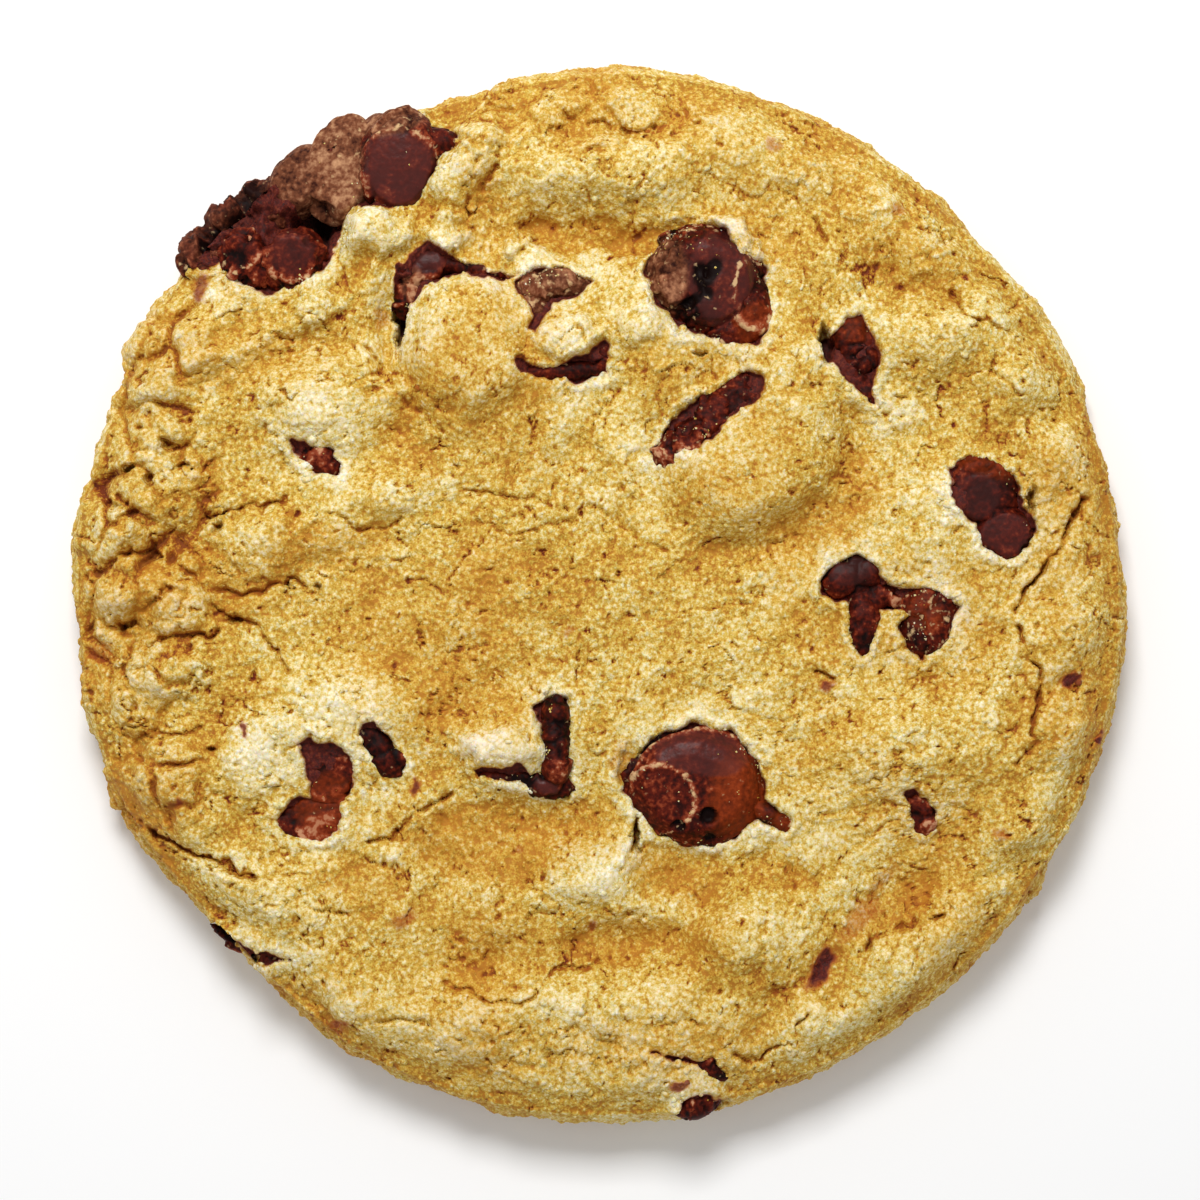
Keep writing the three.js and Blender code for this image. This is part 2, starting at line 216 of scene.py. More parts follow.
def disc_grid(cells):
    """A square grid bent to a disc of even cells: each point's share of the radius, and its angle."""
    line = np.linspace(-1, 1, cells + 1)
    v, u = np.meshgrid(line, line, indexing="ij")
    wide = np.abs(u) > np.abs(v)
    safe_u = np.where(u == 0, 1, u)
    safe_v = np.where(v == 0, 1, v)
    from_u = math.pi / 4 * v / safe_u + np.where(u < 0, math.pi, 0)
    from_v = math.pi / 2 - math.pi / 4 * u / safe_v + np.where(v < 0, math.pi, 0)
    return np.maximum(np.abs(u), np.abs(v)), np.where(wide, from_u, from_v)


crust_tree = ray_tree(CRUST)
chips_tree = ray_tree(*CHIPS)
outline = measured_outline(crust_tree)


def edge_radius(angle):
    """The crust's widest radius in a direction."""
    turns = np.linspace(0, 2 * math.pi, OUTLINE_STEPS + 1)
    return np.interp(angle % (2 * math.pi), turns, [*outline, outline[0]])


print("radius from", outline.min().round(2), "to", outline.max().round(2), "mm")

# %% Measure the top


def filled(field, unknown):
    """The field with its unknown places stretched smoothly over from the known ones."""
    level = np.where(unknown, field[~unknown].mean(), field)
    for _ in range(500):
        wide = np.pad(level, 1, mode="edge")
        average = (wide[:-2, 1:-1] + wide[2:, 1:-1] + wide[1:-1, :-2] + wide[1:-1, 2:]) / 4
        level = np.where(unknown, average, level)
    return level


def widened(mask):
    """The mask with one more cell all round."""
    wide = np.pad(mask, 1)
    return wide[:-2, 1:-1] | wide[2:, 1:-1] | wide[1:-1, :-2] | wide[1:-1, 2:] | mask


def finer(field, times):
    """The field on a grid with that many times as many cells, by straight lines between its points."""
    old = np.arange(field.shape[0])
    new = np.linspace(0, field.shape[0] - 1, (field.shape[0] - 1) * times + 1)
    rows = np.array([np.interp(new, old, row) for row in field])
    return np.array([np.interp(new, old, column) for column in rows.T]).T


def measured_top(x, y):
    """The crust's height without its pockets, at the fine grid's points."""
    coarse_x = x[::MEASURE_EVERY, ::MEASURE_EVERY]
    coarse_y = y[::MEASURE_EVERY, ::MEASURE_EVERY]
    found = heights(crust_tree, coarse_x, coarse_y, np.nan)
    in_pocket = heights(chips_tree, coarse_x, coarse_y, -1.0) > 0
    unknown = widened(widened(in_pocket | np.isnan(found)))
    return blurred(finer(filled(found, unknown), MEASURE_EVERY), 0.5, TOP_SPACING)


share, angle = disc_grid(TOP_CELLS)
top_radius = share * (edge_radius(angle) - WALL_INSET)
x = top_radius * np.cos(angle)
y = top_radius * np.sin(angle)
form = measured_top(x, y)
inset = edge_radius(angle) - top_radius
nowhere = np.zeros_like(x)
print("top's grid:", x.shape, "and its height from", form.min().round(2), "to", form.max().round(2), "mm")

# %% [markdown]
# ## Where the chocolate shows
#
# The dough hugs each chocolate piece and covers part of it, so what shows is an opening of its own ragged
# shape over the rounder solid. A first try cut the crust at each solid's outline, which looked like pebbles
# in holes. So each opening is an outline with few corners, and the distance to it is kept as a field. Noise
# added to that distance frays the edge, and the same field later tells how near the chocolate any dough
# lies.

# %% Map the openings
OPENINGS = {
    "edge": [
        (-33.6, 27.6), (-32.6, 25.8), (-31.4, 25.3), (-29.2, 26.2), (-28.2, 24.2), (-26.8, 23.3),
        (-24.8, 24), (-21.4, 25.2), (-20.4, 26.6), (-20.2, 28.8), (-19.5, 30.2), (-16, 30),
        (-14.4, 30.3), (-12.6, 33.4), (-10.6, 35.6), (-11, 36.2), (-13.8, 37), (-14.6, 38.4), (-17, 40),
        (-22, 44), (-34, 38), (-38, 30),
    ],
    "under_dome": [
        (-15.9, 26), (-14.5, 27.3), (-13.3, 27.6), (-10.5, 26.1), (-7.2, 24.9), (-5.2, 25.3),
        (-7.4, 24.4), (-11.5, 24.9), (-13.5, 23.9), (-14.7, 22.7), (-15.2, 20.5), (-15.7, 18.5),
        (-16.2, 24.5),
    ],
    "dusted": [
        (-6.9, 24.4), (-5.8, 25.2), (-2.8, 25.4), (-0.3, 24.5), (-1.5, 23.1), (-3.3, 22.6), (-4.9, 20.3),
        (-5.5, 20.7), (-5.3, 21.6), (-6.1, 23),
    ],
    "dome_sliver": [
        (-6.4, 18.1), (-3.5, 17.7), (-1, 18.9), (0.6, 20.1), (1.1, 18.5), (0.9, 17.1), (-1.5, 16.5),
        (-6, 17.2),
    ],
    "pitted": [
        (4, 26.3), (5.8, 27.7), (8.2, 28.9), (10.3, 28.3), (10.9, 26.8), (11.5, 25.9), (12.9, 26.2),
        (13.6, 22.8), (13.3, 20.5), (12.5, 19.2), (11.2, 19), (8.6, 20.1), (6.3, 20.6), (4.6, 22.6),
        (3.8, 25),
    ],
    "long_sliver": [
        (4.2, 11), (5.5, 13.2), (8, 15.4), (11.3, 17.3), (13.5, 17.2), (13.4, 16), (10.2, 13),
        (8.6, 11.6), (7.6, 10.9), (5.6, 11.5), (4.7, 10.2),
    ],
    "wedge": [
        (18.2, 18.2), (17.3, 19.6), (19.2, 21.3), (20.4, 22.2), (21, 22), (22.3, 19), (22.5, 18),
        (21.8, 16), (22.2, 14.5), (21.5, 14.5), (20, 16), (18.7, 17.3),
    ],
    "two_lobed": [
        (27.3, 9.9), (29.5, 10.8), (32.6, 9.4), (33.6, 7.5), (34.3, 4.8), (33.8, 3.6), (32.2, 2.7),
        (30.2, 3.6), (29.6, 5.3), (28.1, 7), (27.5, 8.2),
    ],
    "hooked": [
        (17.2, 0.9), (18.7, 2.5), (20.5, 3.3), (21.3, 3.1), (22.4, 1.2), (23.2, 0.3), (27, 0.3),
        (28.3, -1.2), (27.5, -3.9), (25.4, -5.2), (24.3, -4.3), (23.6, -2.6), (24.3, -1.8), (22.4, -1.6),
        (20.8, -5.3), (19.9, -3.3), (19.5, -1), (17.9, -0.4),
    ],
    "west_small": [
        (-24.1, 11.9), (-23, 12.1), (-20.8, 11), (-20, 10), (-20.3, 8.9), (-22.2, 9.6), (-23.7, 11.1),
    ],
    "boot": [
        (-23.8, -11.8), (-22.8, -11.2), (-21.4, -12.1), (-20, -11.9), (-19.4, -12.6), (-19, -15.9),
        (-20, -17.1), (-20.5, -18.9), (-21.8, -19.6), (-23.2, -19.5), (-26.1, -17.9), (-24.6, -17.1),
        (-23, -15.8), (-23.1, -13.4),
    ],
    "slanted": [
        (-18.9, -10.7), (-17.5, -10), (-16.9, -10.4), (-15.3, -13.7), (-15.4, -14.6), (-17.2, -13.7),
        (-18.6, -12),
    ],
    "arch": [
        (-4.9, -9.2), (-3.5, -8.3), (-2.6, -8.5), (-2.4, -10.4), (-2.7, -13.6), (-1.6, -15.3),
        (-2.6, -16), (-6, -15), (-9.3, -14.6), (-9.9, -13.9), (-6.3, -13.5), (-5.2, -14.2),
        (-4.1, -13.8), (-3.9, -12.5), (-4.3, -11.2),
    ],
    "round_disc": [
        (2, -15.5), (2.9, -12.8), (5.2, -10.7), (8, -10.2), (10.4, -11), (12.6, -13.3), (13.1, -16.2),
        (15.1, -17.9), (14.9, -18.9), (12.7, -18), (11, -19.2), (8, -19.9), (4.8, -19.1), (2.6, -17),
    ],
    "east_small": [
        (23.8, -15.8), (24.8, -15.2), (26.7, -17.2), (25.7, -18.8), (24.9, -18.7), (24.2, -17.3),
    ],
    "wall_west": [
        (-31.8, -26.6), (-30.6, -26), (-28.9, -27), (-26.9, -28.2), (-24.2, -29), (-26.5, -29.5),
        (-28.6, -28.5), (-31.2, -27.2),
    ],
    "crack_south": [
        (2.2, -36.2), (2.8, -35.5), (4.8, -35.8), (7.5, -36.6), (9, -36.5), (10.2, -38), (9.2, -38.3),
        (7.4, -37.3), (5, -36.7), (3.5, -36.2),
    ],
    "wall_south": [
        (6.3, -40), (8.3, -39.5), (10.3, -40.3), (9, -42), (6.5, -41.9),
    ],
}


# %% Distance to the openings
HALO_WIDTH = 1.8  # over how far the dough turns from floury to golden


def distance_to_line(px, py, places):
    """The distance from each point to a line of places."""
    nearest = np.full(px.shape, FAR)
    for (ax, ay), (bx, by) in itertools.pairwise(places):
        length = math.hypot(bx - ax, by - ay)
        along = np.clip(((px - ax) * (bx - ax) + (py - ay) * (by - ay)) / length**2, 0, 1)
        nearest = np.minimum(nearest, np.hypot(px - ax - along * (bx - ax), py - ay - along * (by - ay)))
    return nearest


def is_inside(px, py, corners):
    """Whether each point lies inside a closed outline."""
    crossings = np.zeros(px.shape, dtype=bool)
    for (ax, ay), (bx, by) in itertools.pairwise([*corners, corners[0]]):
        if ay != by:
            crossings ^= ((ay > py) != (by > py)) & (px < ax + (py - ay) * (bx - ax) / (by - ay))
    return crossings


def depth_in_openings(px, py):
    """How far inside the nearest opening each point lies, in millimetres, and below 0 outside."""
    deepest = np.full(px.shape, -FAR)
    for corners in OPENINGS.values():
        distance = distance_to_line(px, py, [*corners, corners[0]])
        deepest = np.maximum(deepest, np.where(is_inside(px, py, corners), distance, -distance))
    return deepest


def frayed(point, depth):
    """The depth inside an opening, with its zero line frayed by crumbs."""
    return depth + 0.5 * ragged_noise(point, 1.5, 11, 3) + 0.15 * smooth_noise(point, 0.45, 14)


inside = depth_in_openings(x, y)
near_chocolate = np.exp(-np.clip(-inside, 0, None) / HALO_WIDTH)
print(len(OPENINGS), "openings take", (inside > 0).mean().round(3), "of the top")

# %% [markdown]
# ## Cracks
#
# As a cookie sets, its crust dries first and then tears over the soft middle. The large tears are
# particular to this cookie, so each is a short line of places read off the reference, and noise makes it
# jagged. A torn edge also stands up a little on both sides, and that lip is what catches the light.
# Everywhere else the crust ends in small ledges. They follow the winding lines where a ragged noise passes
# zero, broken off where a second noise is low. Borders of cell noise were tried first, and they looked like
# dried mud.

# %% Places of the large tears
# Each crack is (depth, width, places along it).
CRACKS = [
    (0.9, 0.35, [(-18.7, 19.3), (-17.5, 18.2), (-16.6, 17), (-16.2, 15.6), (-15, 14.6), (-12, 13)]),
    (0.7, 0.3, [(-12, 13), (-11.2, 10.6), (-10.5, 9.5)]),
    (0.8, 0.3, [(-10.5, 8.3), (-6.5, 7.5), (-3.8, 7.2)]),
    (0.6, 0.35, [(-9, 6), (-7, 4.6), (-5, 5.1), (-2, 5.6), (-0.8, 6.5), (1, 5.9), (2.3, 5), (5, 3.3)]),
    (1.3, 0.45, [(-36, 13), (-34.5, 12), (-33.6, 11.2), (-32, 12), (-31.2, 12.8)]),
    (1.6, 0.5, [(-38, 7.5), (-36.5, 6), (-35.5, 5), (-35, 3.4), (-36.5, 3.2), (-38.5, 2.1), (-40, 1)]),
    (1.5, 0.5, [(-37.5, -2.2), (-36.5, -3.2), (-35.5, -4), (-33, -3.6), (-31.5, -3), (-30, -3.2)]),
    (1.1, 0.4, [(-36.5, -3.8), (-37.6, -6.2), (-36.8, -7.7), (-36.1, -9)]),
    (1.2, 0.4, [(-30.5, 6), (-28.7, 6.5), (-24.9, 7), (-23.5, 7.7)]),
    (1.0, 0.35, [(-20.9, 6.8), (-19.4, 5.4), (-17.5, 5.2), (-15.5, 5.4)]),
    (1.3, 0.4, [(-32.7, 2), (-31.2, 0.8), (-28, -0.3), (-26.8, -0.2), (-25.6, 0.8), (-22, 0.4)]),
    (1.2, 0.4, [(-29.8, -0.9), (-28.6, -2), (-27, -2.6), (-25.8, -3.8), (-24.2, -6)]),
    (0.9, 0.35, [(-34.8, -10.8), (-33, -11.2), (-31, -10.4)]),
    (1.9, 0.5, [(-35.5, -18.8), (-33.3, -19.9), (-31.5, -20.3), (-30, -20.9), (-27, -22)]),
    (0.8, 0.3, [(-26, -24.5), (-23, -24.5), (-20, -25)]),
    (1.1, 0.35, [(-18.3, -20), (-16.5, -19.5), (-14.8, -18.1), (-13.3, -17), (-11.5, -15.8)]),
    (1.0, 0.35, [(-12.1, -31), (-10, -31.5), (-8.5, -32), (-6, -32.3), (-4, -30.4), (-2.5, -29.7),
                 (0, -29.5)]),
    (0.8, 0.3, [(-17.5, -34), (-15, -33.8), (-13.5, -33.4)]),
    (1.2, 0.35, [(10.8, -36.5), (12, -37), (13.5, -35.8), (14.8, -35.5), (16.4, -33.3)]),
    (2.1, 0.55, [(19, -30.5), (20.4, -28.9), (21.5, -27.3), (24.3, -26.2), (27, -25.5)]),
    (2.3, 0.55, [(38.2, 7.2), (36.5, 3.9), (35.3, 2.7), (34.6, 1.2), (33.6, -0.7), (33, -1.5)]),
    (1.7, 0.45, [(33.3, -3), (33.5, -5), (34.5, -6.5), (34.7, -8.5), (34.2, -10), (34.5, -11.5),
                 (33.3, -13)]),
    (1.0, 0.35, [(-8.5, 38.8), (-7.2, 35.8)]),
    (1.1, 0.4, [(-2.7, 38), (-1.6, 37.3), (0.2, 37.2), (1.2, 36.3), (4.5, 36.3)]),
    (1.5, 0.45, [(-8, 33.3), (-9.2, 32.3), (-10, 30.9), (-10.4, 29)]),
    (1.0, 0.35, [(15, 31.5), (16.4, 30.2), (16.9, 28.5), (18, 27.4)]),
    (0.9, 0.3, [(25, 29), (27.3, 28.3), (27.2, 27)]),
    (1.1, 0.35, [(24.5, 24.5), (28.5, 23), (28.8, 22), (30.8, 21), (32.8, 20.6)]),
    (1.0, 0.35, [(30.8, 19), (30.7, 17), (31.9, 16.2), (33, 15.5)]),
    (1.3, 0.35, [(17, -6.2), (18.9, -6.7)]),
    (1.6, 0.35, [(3.1, -18.2), (2.9, -20.6)]),
]


# %% Carve the cracks
def named_cracks():
    """How far the large tears cut in, and how far their lips stand up."""
    place = (x, y, nowhere)
    jagged_x = x + 0.6 * ragged_noise(place, 1.7, 21, 4)
    jagged_y = y + 0.6 * ragged_noise(place, 1.7, 22, 4)
    cut = np.zeros_like(x)
    lip = np.zeros_like(x)
    strength = between(-0.75, 0.15, ragged_noise(place, 1.6, 23, 2))
    for depth, width, places in CRACKS:
        distance = distance_to_line(jagged_x, jagged_y, places)
        width = width * (0.2 + 0.26 * strength)
        cut = np.maximum(cut, 0.55 * depth * np.exp(-((distance / width) ** 2)))
        lip = np.maximum(lip, 0.12 * depth * np.exp(-(((distance - 0.9) / 0.6) ** 2)))
    return cut * strength, lip * strength


def ledges(point, size, seed, rarity):
    """Broken edges of thin layers: a step along winding lines, and the crack at its foot."""
    level = ragged_noise(point, size, seed, 5)
    kept = between(rarity, rarity + 0.35, ragged_noise(point, size * 0.4, seed + 91, 2))
    crack = np.exp(-(((level + 0.03) / (0.11 / size)) ** 2)) * kept
    return (between(-0.04, 0.08, level) - 0.5) * between(rarity - 0.6, rarity + 0.4, kept), crack


cut, lip = named_cracks()
print(len(CRACKS), "tears, the deepest", cut.max().round(2), "mm")

# %% [markdown]
# ## Lumps, crumbs and grains
#
# Under a low light a cookie shows lumps of a few millimetres, crumbs of about one, and sugar grains of half
# of one. Each scale is one layer of cell noise whose cells swell to domes. The rim bakes longer and breaks
# up into blocks, so its layers are stronger, and the middle stays smoother. One function serves the top and
# the wall.

# %% Relief of the crust
def dome(nearest):
    """A rounded cell, 1 at its centre and 0 where it meets its neighbours."""
    return np.clip(1 - (nearest / 0.75) ** 2, 0, 1)


def relief(point, roughness):
    """How far the crust stands out at each point, from lumps to grains, and how open its cracks are."""
    lumps = 0.34 * ragged_noise(point, 5.5, 31) + 0.2 * ragged_noise(point, 2.6, 32)
    bent = [p + 0.9 * ragged_noise(point, 2.4, 33 + k, 2) for k, p in enumerate(point)]
    near, second, tilt = cell_noise(bent, 4.6, 36)
    meeting = np.exp(-(((second - near) / 0.13) ** 2))
    boulders = (0.42 * dome(near) + 0.5 * (tilt - 0.5) - 0.5 * meeting) * between(0.35, 0.9, roughness)
    lump_near, _, lump_share = cell_noise(bent, 2.0, 39)
    clods = (0.27 * dome(lump_near) * (0.4 + lump_share) - 0.1) * between(0.1, 0.9, roughness)
    crumb_near, _, crumb_share = cell_noise(point, 1.0, 41)
    gathered_crumbs = between(-0.5, 0.6, smooth_noise(point, 3.4, 43))
    crumbs = 0.15 * dome(crumb_near) * (0.3 + crumb_share) * gathered_crumbs
    grain_near, _, grain_share = cell_noise(point, 0.44, 44)
    grains = 0.11 * dome(grain_near) * (0.25 + grain_share)
    fine = 0.08 * ragged_noise(point, 0.5, 46, 2)
    wide_step, wide_crack = ledges(point, 7.0, 51, 0.05)
    small_step, small_crack = ledges(point, 3.2, 61, 0.12)
    tiny_step, tiny_crack = ledges(point, 1.5, 66, 0.25)
    steps = 0.2 * wide_step + 0.18 * small_step + 0.14 * tiny_step
    pits_near, _, pit_share = cell_noise(bent, 1.9, 71)
    pits = np.where(pit_share > 0.72, np.exp(-((pits_near * 1.9 / 0.24) ** 2)), 0)
    deep = meeting * between(0.5, 1.0, roughness) * between(-0.2, 0.5, smooth_noise(point, 3, 75))
    hollow = np.max([0.5 * wide_crack, 0.75 * small_crack, 0.75 * tiny_crack, pits, 0.8 * deep], axis=0)
    raised = lumps + boulders + clods + crumbs * (0.75 + 0.45 * roughness) + grains + fine + steps
    return raised - 0.5 * hollow * (0.75 + 0.3 * roughness), hollow


# %% Mark where the crust crumbled
# Where the crust broke up into boulders and crumble: (x, y, half length, half width, turn, strength).
CRUMBLE = [
    (-35.5, 10, 6.5, 13, 12, 1.0),
    (-33.5, 19, 6, 6, 0, 0.9),
    (-36, -3, 5, 9, 0, 1.0),
    (-35, -14, 4.5, 6, -15, 0.9),
    (-26, 22, 6, 4, 30, 0.6),
    (-27, 3, 6, 5, 0, 0.6),
    (-1, 38, 14, 4, 0, 0.75),
    (-9, 33, 4, 5, 0, 0.8),
    (22, 30, 12, 4, -35, 0.55),
    (0, -36, 20, 4, 0, 0.6),
    (28, -28, 4, 14, -45, 0.45),
    (36, 5, 4, 12, 0, 0.5),
    (-22, -33, 10, 4, -25, 0.6),
]


def ovals(px, py, rows, ragged):
    """The strongest of some soft ovals at each point, with their edges made ragged."""
    sx = px + ragged * ragged_noise((px, py, nowhere), 2 * ragged, 111)
    sy = py + ragged * ragged_noise((px, py, nowhere), 2 * ragged, 112)
    strongest = np.zeros_like(px)
    for cx, cy, length, width, turn, strength in rows:
        cos, sin = math.cos(math.radians(turn)), math.sin(math.radians(turn))
        along = ((sx - cx) * cos + (sy - cy) * sin) / length
        across = ((sy - cy) * cos - (sx - cx) * sin) / width
        strongest = np.maximum(strongest, strength * between(1.3, 0.5, np.hypot(along, across)))
    return strongest


roughness = np.maximum(ovals(x, y, CRUMBLE, 2.0), 0.35 * between(12, 3, inset))
point = (x, y, form)
raised, hollow = relief(point, roughness)
smoother = 1 - 0.3 * between(0.3, 0.9, near_chocolate)
swelling = 0.3 * (form - blurred(form, 2.6, TOP_SPACING)) * between(1.5, 5, inset)
print("relief from", raised.min().round(2), "to", raised.max().round(2), "mm")

# %% [markdown]
# ## Knobs, valleys and voids
#
# Dough that a piece of chocolate lifted stands up in knobs, and between them it sank. No noise puts such
# forms in the right places, so each is a soft oval whose place was read off the reference, and noise makes
# its edge ragged. The darkest spots are holes between pieces. They are cut into the same surface, because a
# hole that is only painted looks flat under a low light, and they are also painted near black as painted
# shade.

# %% Places of the knobs
# Knobs of dough that stand up with steep sides: (x, y, half length, half width, turn, height).
KNOBS = [
    (-17, 28.4, 3.2, 1.6, 8, 1.1),
    (-12, 28.2, 1.9, 1.5, 0, 1.1),
    (-6.3, 27.7, 1.3, 1.2, 0, 0.9),
    (-9, 35.5, 2.2, 2, 0, 0.7),
    (-11.6, 32.4, 2.2, 2.2, 0, 0.9),
    (-7.6, -12.1, 3.2, 1.4, -8, 1.0),
    (10.9, 27.9, 2.4, 1.0, -35, 1.5),
    (28.0, 8.2, 1.5, 2.2, 10, 0.6),
    (-2.2, 20.2, 3.2, 1.7, 10, 0.9),
    (3, 21.2, 1.8, 1.6, 0, 0.5),
    (-10.2, 20.2, 5.2, 5.2, 0, 0.8),
    (12.5, 10.4, 6.8, 5.2, 20, 0.4),
    (15.5, 17.5, 2.2, 2, 0, 0.4),
    (26, 20, 3.6, 3, 0, 0.5),
    (22.5, 14.2, 3, 1.8, 0, 0.4),
    (0, 33.5, 10, 2.5, 0, 0.5),
    (-39, 5, 3, 2.6, 0, 0.8),
    (-34.3, 8.8, 3.3, 3.3, 0, 0.9),
    (-37.4, 0.2, 2.6, 2.2, 0, 0.7),
    (-33, -1, 2.2, 2.6, 0, 0.7),
    (-34.2, -6, 3.4, 2.2, 0, 0.8),
    (-33, -15, 3.4, 2.6, 0, 0.7),
    (-34, 18.5, 3.4, 4, 0, 0.6),
    (-27, 3, 3.5, 2.5, 10, 0.5),
    (-17, 7.5, 2.6, 1.6, 0, 0.4),
    (-22, 14.5, 6, 2.6, -20, 0.45),
    (-22.8, 21.8, 3.6, 1.1, 30, 0.8),
    (-25, -12.5, 4.2, 4.2, 0, 0.5),
    (11, -27, 3.2, 2.8, 0, 0.7),
    (24, -12, 6.5, 3, 10, 0.4),
    (2.5, -37.5, 3, 1.8, 0, 0.5),
]

# %% Places of the valleys
# Valleys where the dough sank, also painted darker as painted shade: (x, y, half length, half width, turn,
# depth).
VALLEYS = [
    (-7.5, -20, 8, 3.6, 4, 1.0),
    (6, -22, 4, 2.6, 0, 0.8),
    (2, -27.5, 5, 2, 0, 0.7),
    (2, 27.6, 9, 1.6, -6, 1.0),
    (-3, 12.5, 5, 4, 60, 0.5),
    (18.5, 6.5, 5, 2, 25, 0.6),
    (20, 8, 2, 5, 0, 0.5),
    (-18, -23, 4, 2.5, 0, 0.6),
    (-20, 4, 6, 2, 10, 0.5),
    (28, -5, 4, 4, 0, 0.3),
    (14, -22, 4, 2, -20, 0.5),
    (-14.5, 10.5, 2, 4, 20, 0.5),
    (23.5, -24.5, 5, 1.6, 40, 0.6),
    (1.9, -13.3, 1.1, 1.7, 0, 1.0),
]

# %% Places of the voids
# Dark holes between pieces, and pores in the rim: (x, y, half length, half width, turn, share of VOID_DEPTH).
VOIDS = [
    (-22.3, 29.2, 1.7, 2.4, -20, 1.2),
    (-28.2, 29.4, 1.6, 1.0, 20, 0.8),
    (-15.5, 21.4, 0.55, 2.8, -4, 1.1),
    (-12, 25.3, 2.4, 0.5, 5, 0.6),
    (17.9, 19.4, 0.5, 1.5, 10, 1.0),
    (34.1, 7.2, 0.4, 1.0, 0, 0.8),
    (22.7, -0.4, 0.5, 0.8, 0, 0.7),
    (-36.8, 9.9, 0.45, 0.35, 0, 0.6),
    (-35.1, 8.9, 0.45, 0.55, 0, 0.6),
    (-32.4, 10, 0.5, 0.3, 0, 0.5),
    (-33.6, 11.6, 0.5, 0.6, 30, 0.5),
    (-28.6, -2, 0.6, 0.35, 0, 0.6),
    (-22, 0.4, 0.4, 0.3, 0, 0.5),
    (-24.2, 0.5, 0.4, 0.3, 0, 0.5),
    (-34.8, 3, 0.6, 0.4, 0, 0.6),
    (-37, -2.6, 0.9, 0.4, 10, 0.55),
    (-30.3, -12.3, 0.5, 0.3, 0, 0.5),
    (-30, 5, 0.4, 0.5, 0, 0.6),
    (-38, 6.7, 0.8, 0.4, -20, 0.5),
    (8, 18.7, 0.55, 0.2, -10, 0.5),
    (3, -19.3, 0.28, 1.3, 5, 0.9),
]

# %% Join the surface
VOID_DEPTH = 2.2
OPENING_DEPTH = 0.8
HEIGHT_LIMIT = 11.2  # where heights begin to level off, so that no crumb rises far past the solids
LIMIT_ROOM = 0.7
void = ovals(x, y, VOIDS, 0.3)
swelling = swelling + ovals(x, y, KNOBS, 0.7) - 0.8 * ovals(x, y, VALLEYS, 1.2)
frayed_depth = frayed(point, inside)
hug = 0.3 * np.exp(-(((frayed_depth + 0.45) / 0.4) ** 2)) * between(-0.7, 0.3, smooth_noise(point, 2.2, 91))
opening = between(-0.05, 0.3, frayed_depth)
surface = form + swelling + raised * smoother + lip - cut + hug

# The floor of the opening at the edge broke into shards, and is the one floor that can be seen into.
shattered = opening * between(-12, -15, x) * between(23.5, 25.5, y)
shards = 1.1 - 2.6 * np.abs(ragged_noise(point, 2.4, 211, 4))


def kept_low(height):
    """Heights that level off below the top of the solids' box."""
    levelled = HEIGHT_LIMIT + LIMIT_ROOM * np.tanh((height - HEIGHT_LIMIT) / 0.9)
    return np.where(height > HEIGHT_LIMIT, levelled, height)


top = kept_low(surface - OPENING_DEPTH * opening - VOID_DEPTH * void + shattered * shards)
print("finished top from", top.min().round(2), "to", top.max().round(2), "mm")

# %% [markdown]
# ## What colours the crust
#
# The colour of the crust follows its shape: crumbs that stand out are painted paler and creases a golden
# brown, partly as the dough's own colour and partly as painted light and shade. So the height is compared
# with its own blur at three widths, which tells what stands out from what lies low. Dough next to chocolate
# stays palest, and there the colour comes from the chocolate map. Each of these is kept on the mesh as a
# named attribute for the material to read.

# %% Compare heights with their blur
def standing_out(field, width):
    """How far each place stands above its surroundings, about from -1 to 1."""
    difference = field - blurred(field, width, TOP_SPACING)
    return np.clip(difference / (2.2 * difference.std()), -1, 1)


# Painted light and shade: these values make the dough paler where it stands out and darker where it lies low.
relief_fine = standing_out(surface, 0.3)
relief_wide = standing_out(surface, 1.1)
relief_broad = standing_out(surface, 3.2)
# Painted shade: the valleys are painted darker and browner, over the rim's real browning and random patches.
painted_valley_shade = ovals(x, y, VALLEYS, 1.2)
rim_bake = 0.35 * between(0.3, 0.9, roughness)
baked = np.clip(0.5 * ragged_noise(point, 9, 102) + rim_bake + 0.55 * painted_valley_shade, 0, 1)
print("baked brown, on average:", baked.mean().round(3))

# %% Whiten the floury dough
# Where the dough stayed floury: (x, y, half length, half width, turn, strength).
FLOURY_PATCHES = [
    (-25, -12.5, 4.5, 4.5, 0, 0.9),
    (-17.6, -16.2, 1.7, 1.6, 0, 1.3),
    (-20, -9, 6, 2.6, 10, 0.8),
    (28.3, 6.6, 1.5, 2.0, -20, 1.4),
    (18.4, 3.4, 3, 1.6, 10, 0.7),
    (23.3, -3.6, 1.6, 2.2, 0, 0.9),
    (-8, -12.2, 2.6, 1.7, 0, 1.3),
    (-2, 21.2, 3.6, 3.0, 20, 0.8),
    (9.8, 12.2, 3.2, 1.2, 35, 0.7),
    (10.4, 28.8, 1.8, 1.1, -35, 1.2),
    (-22, 13.2, 4, 2.4, -20, 0.7),
    (-10, 26.8, 2.5, 1.5, -15, 0.8),
    (-18.5, 28.8, 2.4, 1.6, 20, 0.9),
    (22, 14.3, 2.2, 1.2, -20, 0.8),
    (3.2, -20.6, 1.5, 1.5, 0, 0.9),
    (-30, 24.4, 2.2, 1.6, 30, 0.8),
    (-1, -22, 4, 3, 0, 0.5),
    (-2, -35, 16, 4, 0, 0.5),
    (18, -33, 6, 4, -30, 0.4),
    (-24, -30, 6, 4, 35, 0.3),
    (26, -10.5, 6, 2.5, 10, 0.35),
]


halo = near_chocolate * (0.35 + 0.85 * between(-0.4, 0.6, ragged_noise(point, 4, 101)))
floury = np.clip(np.maximum(halo, 0.8 * ovals(x, y, FLOURY_PATCHES, 1.0)), 0, 1.2)

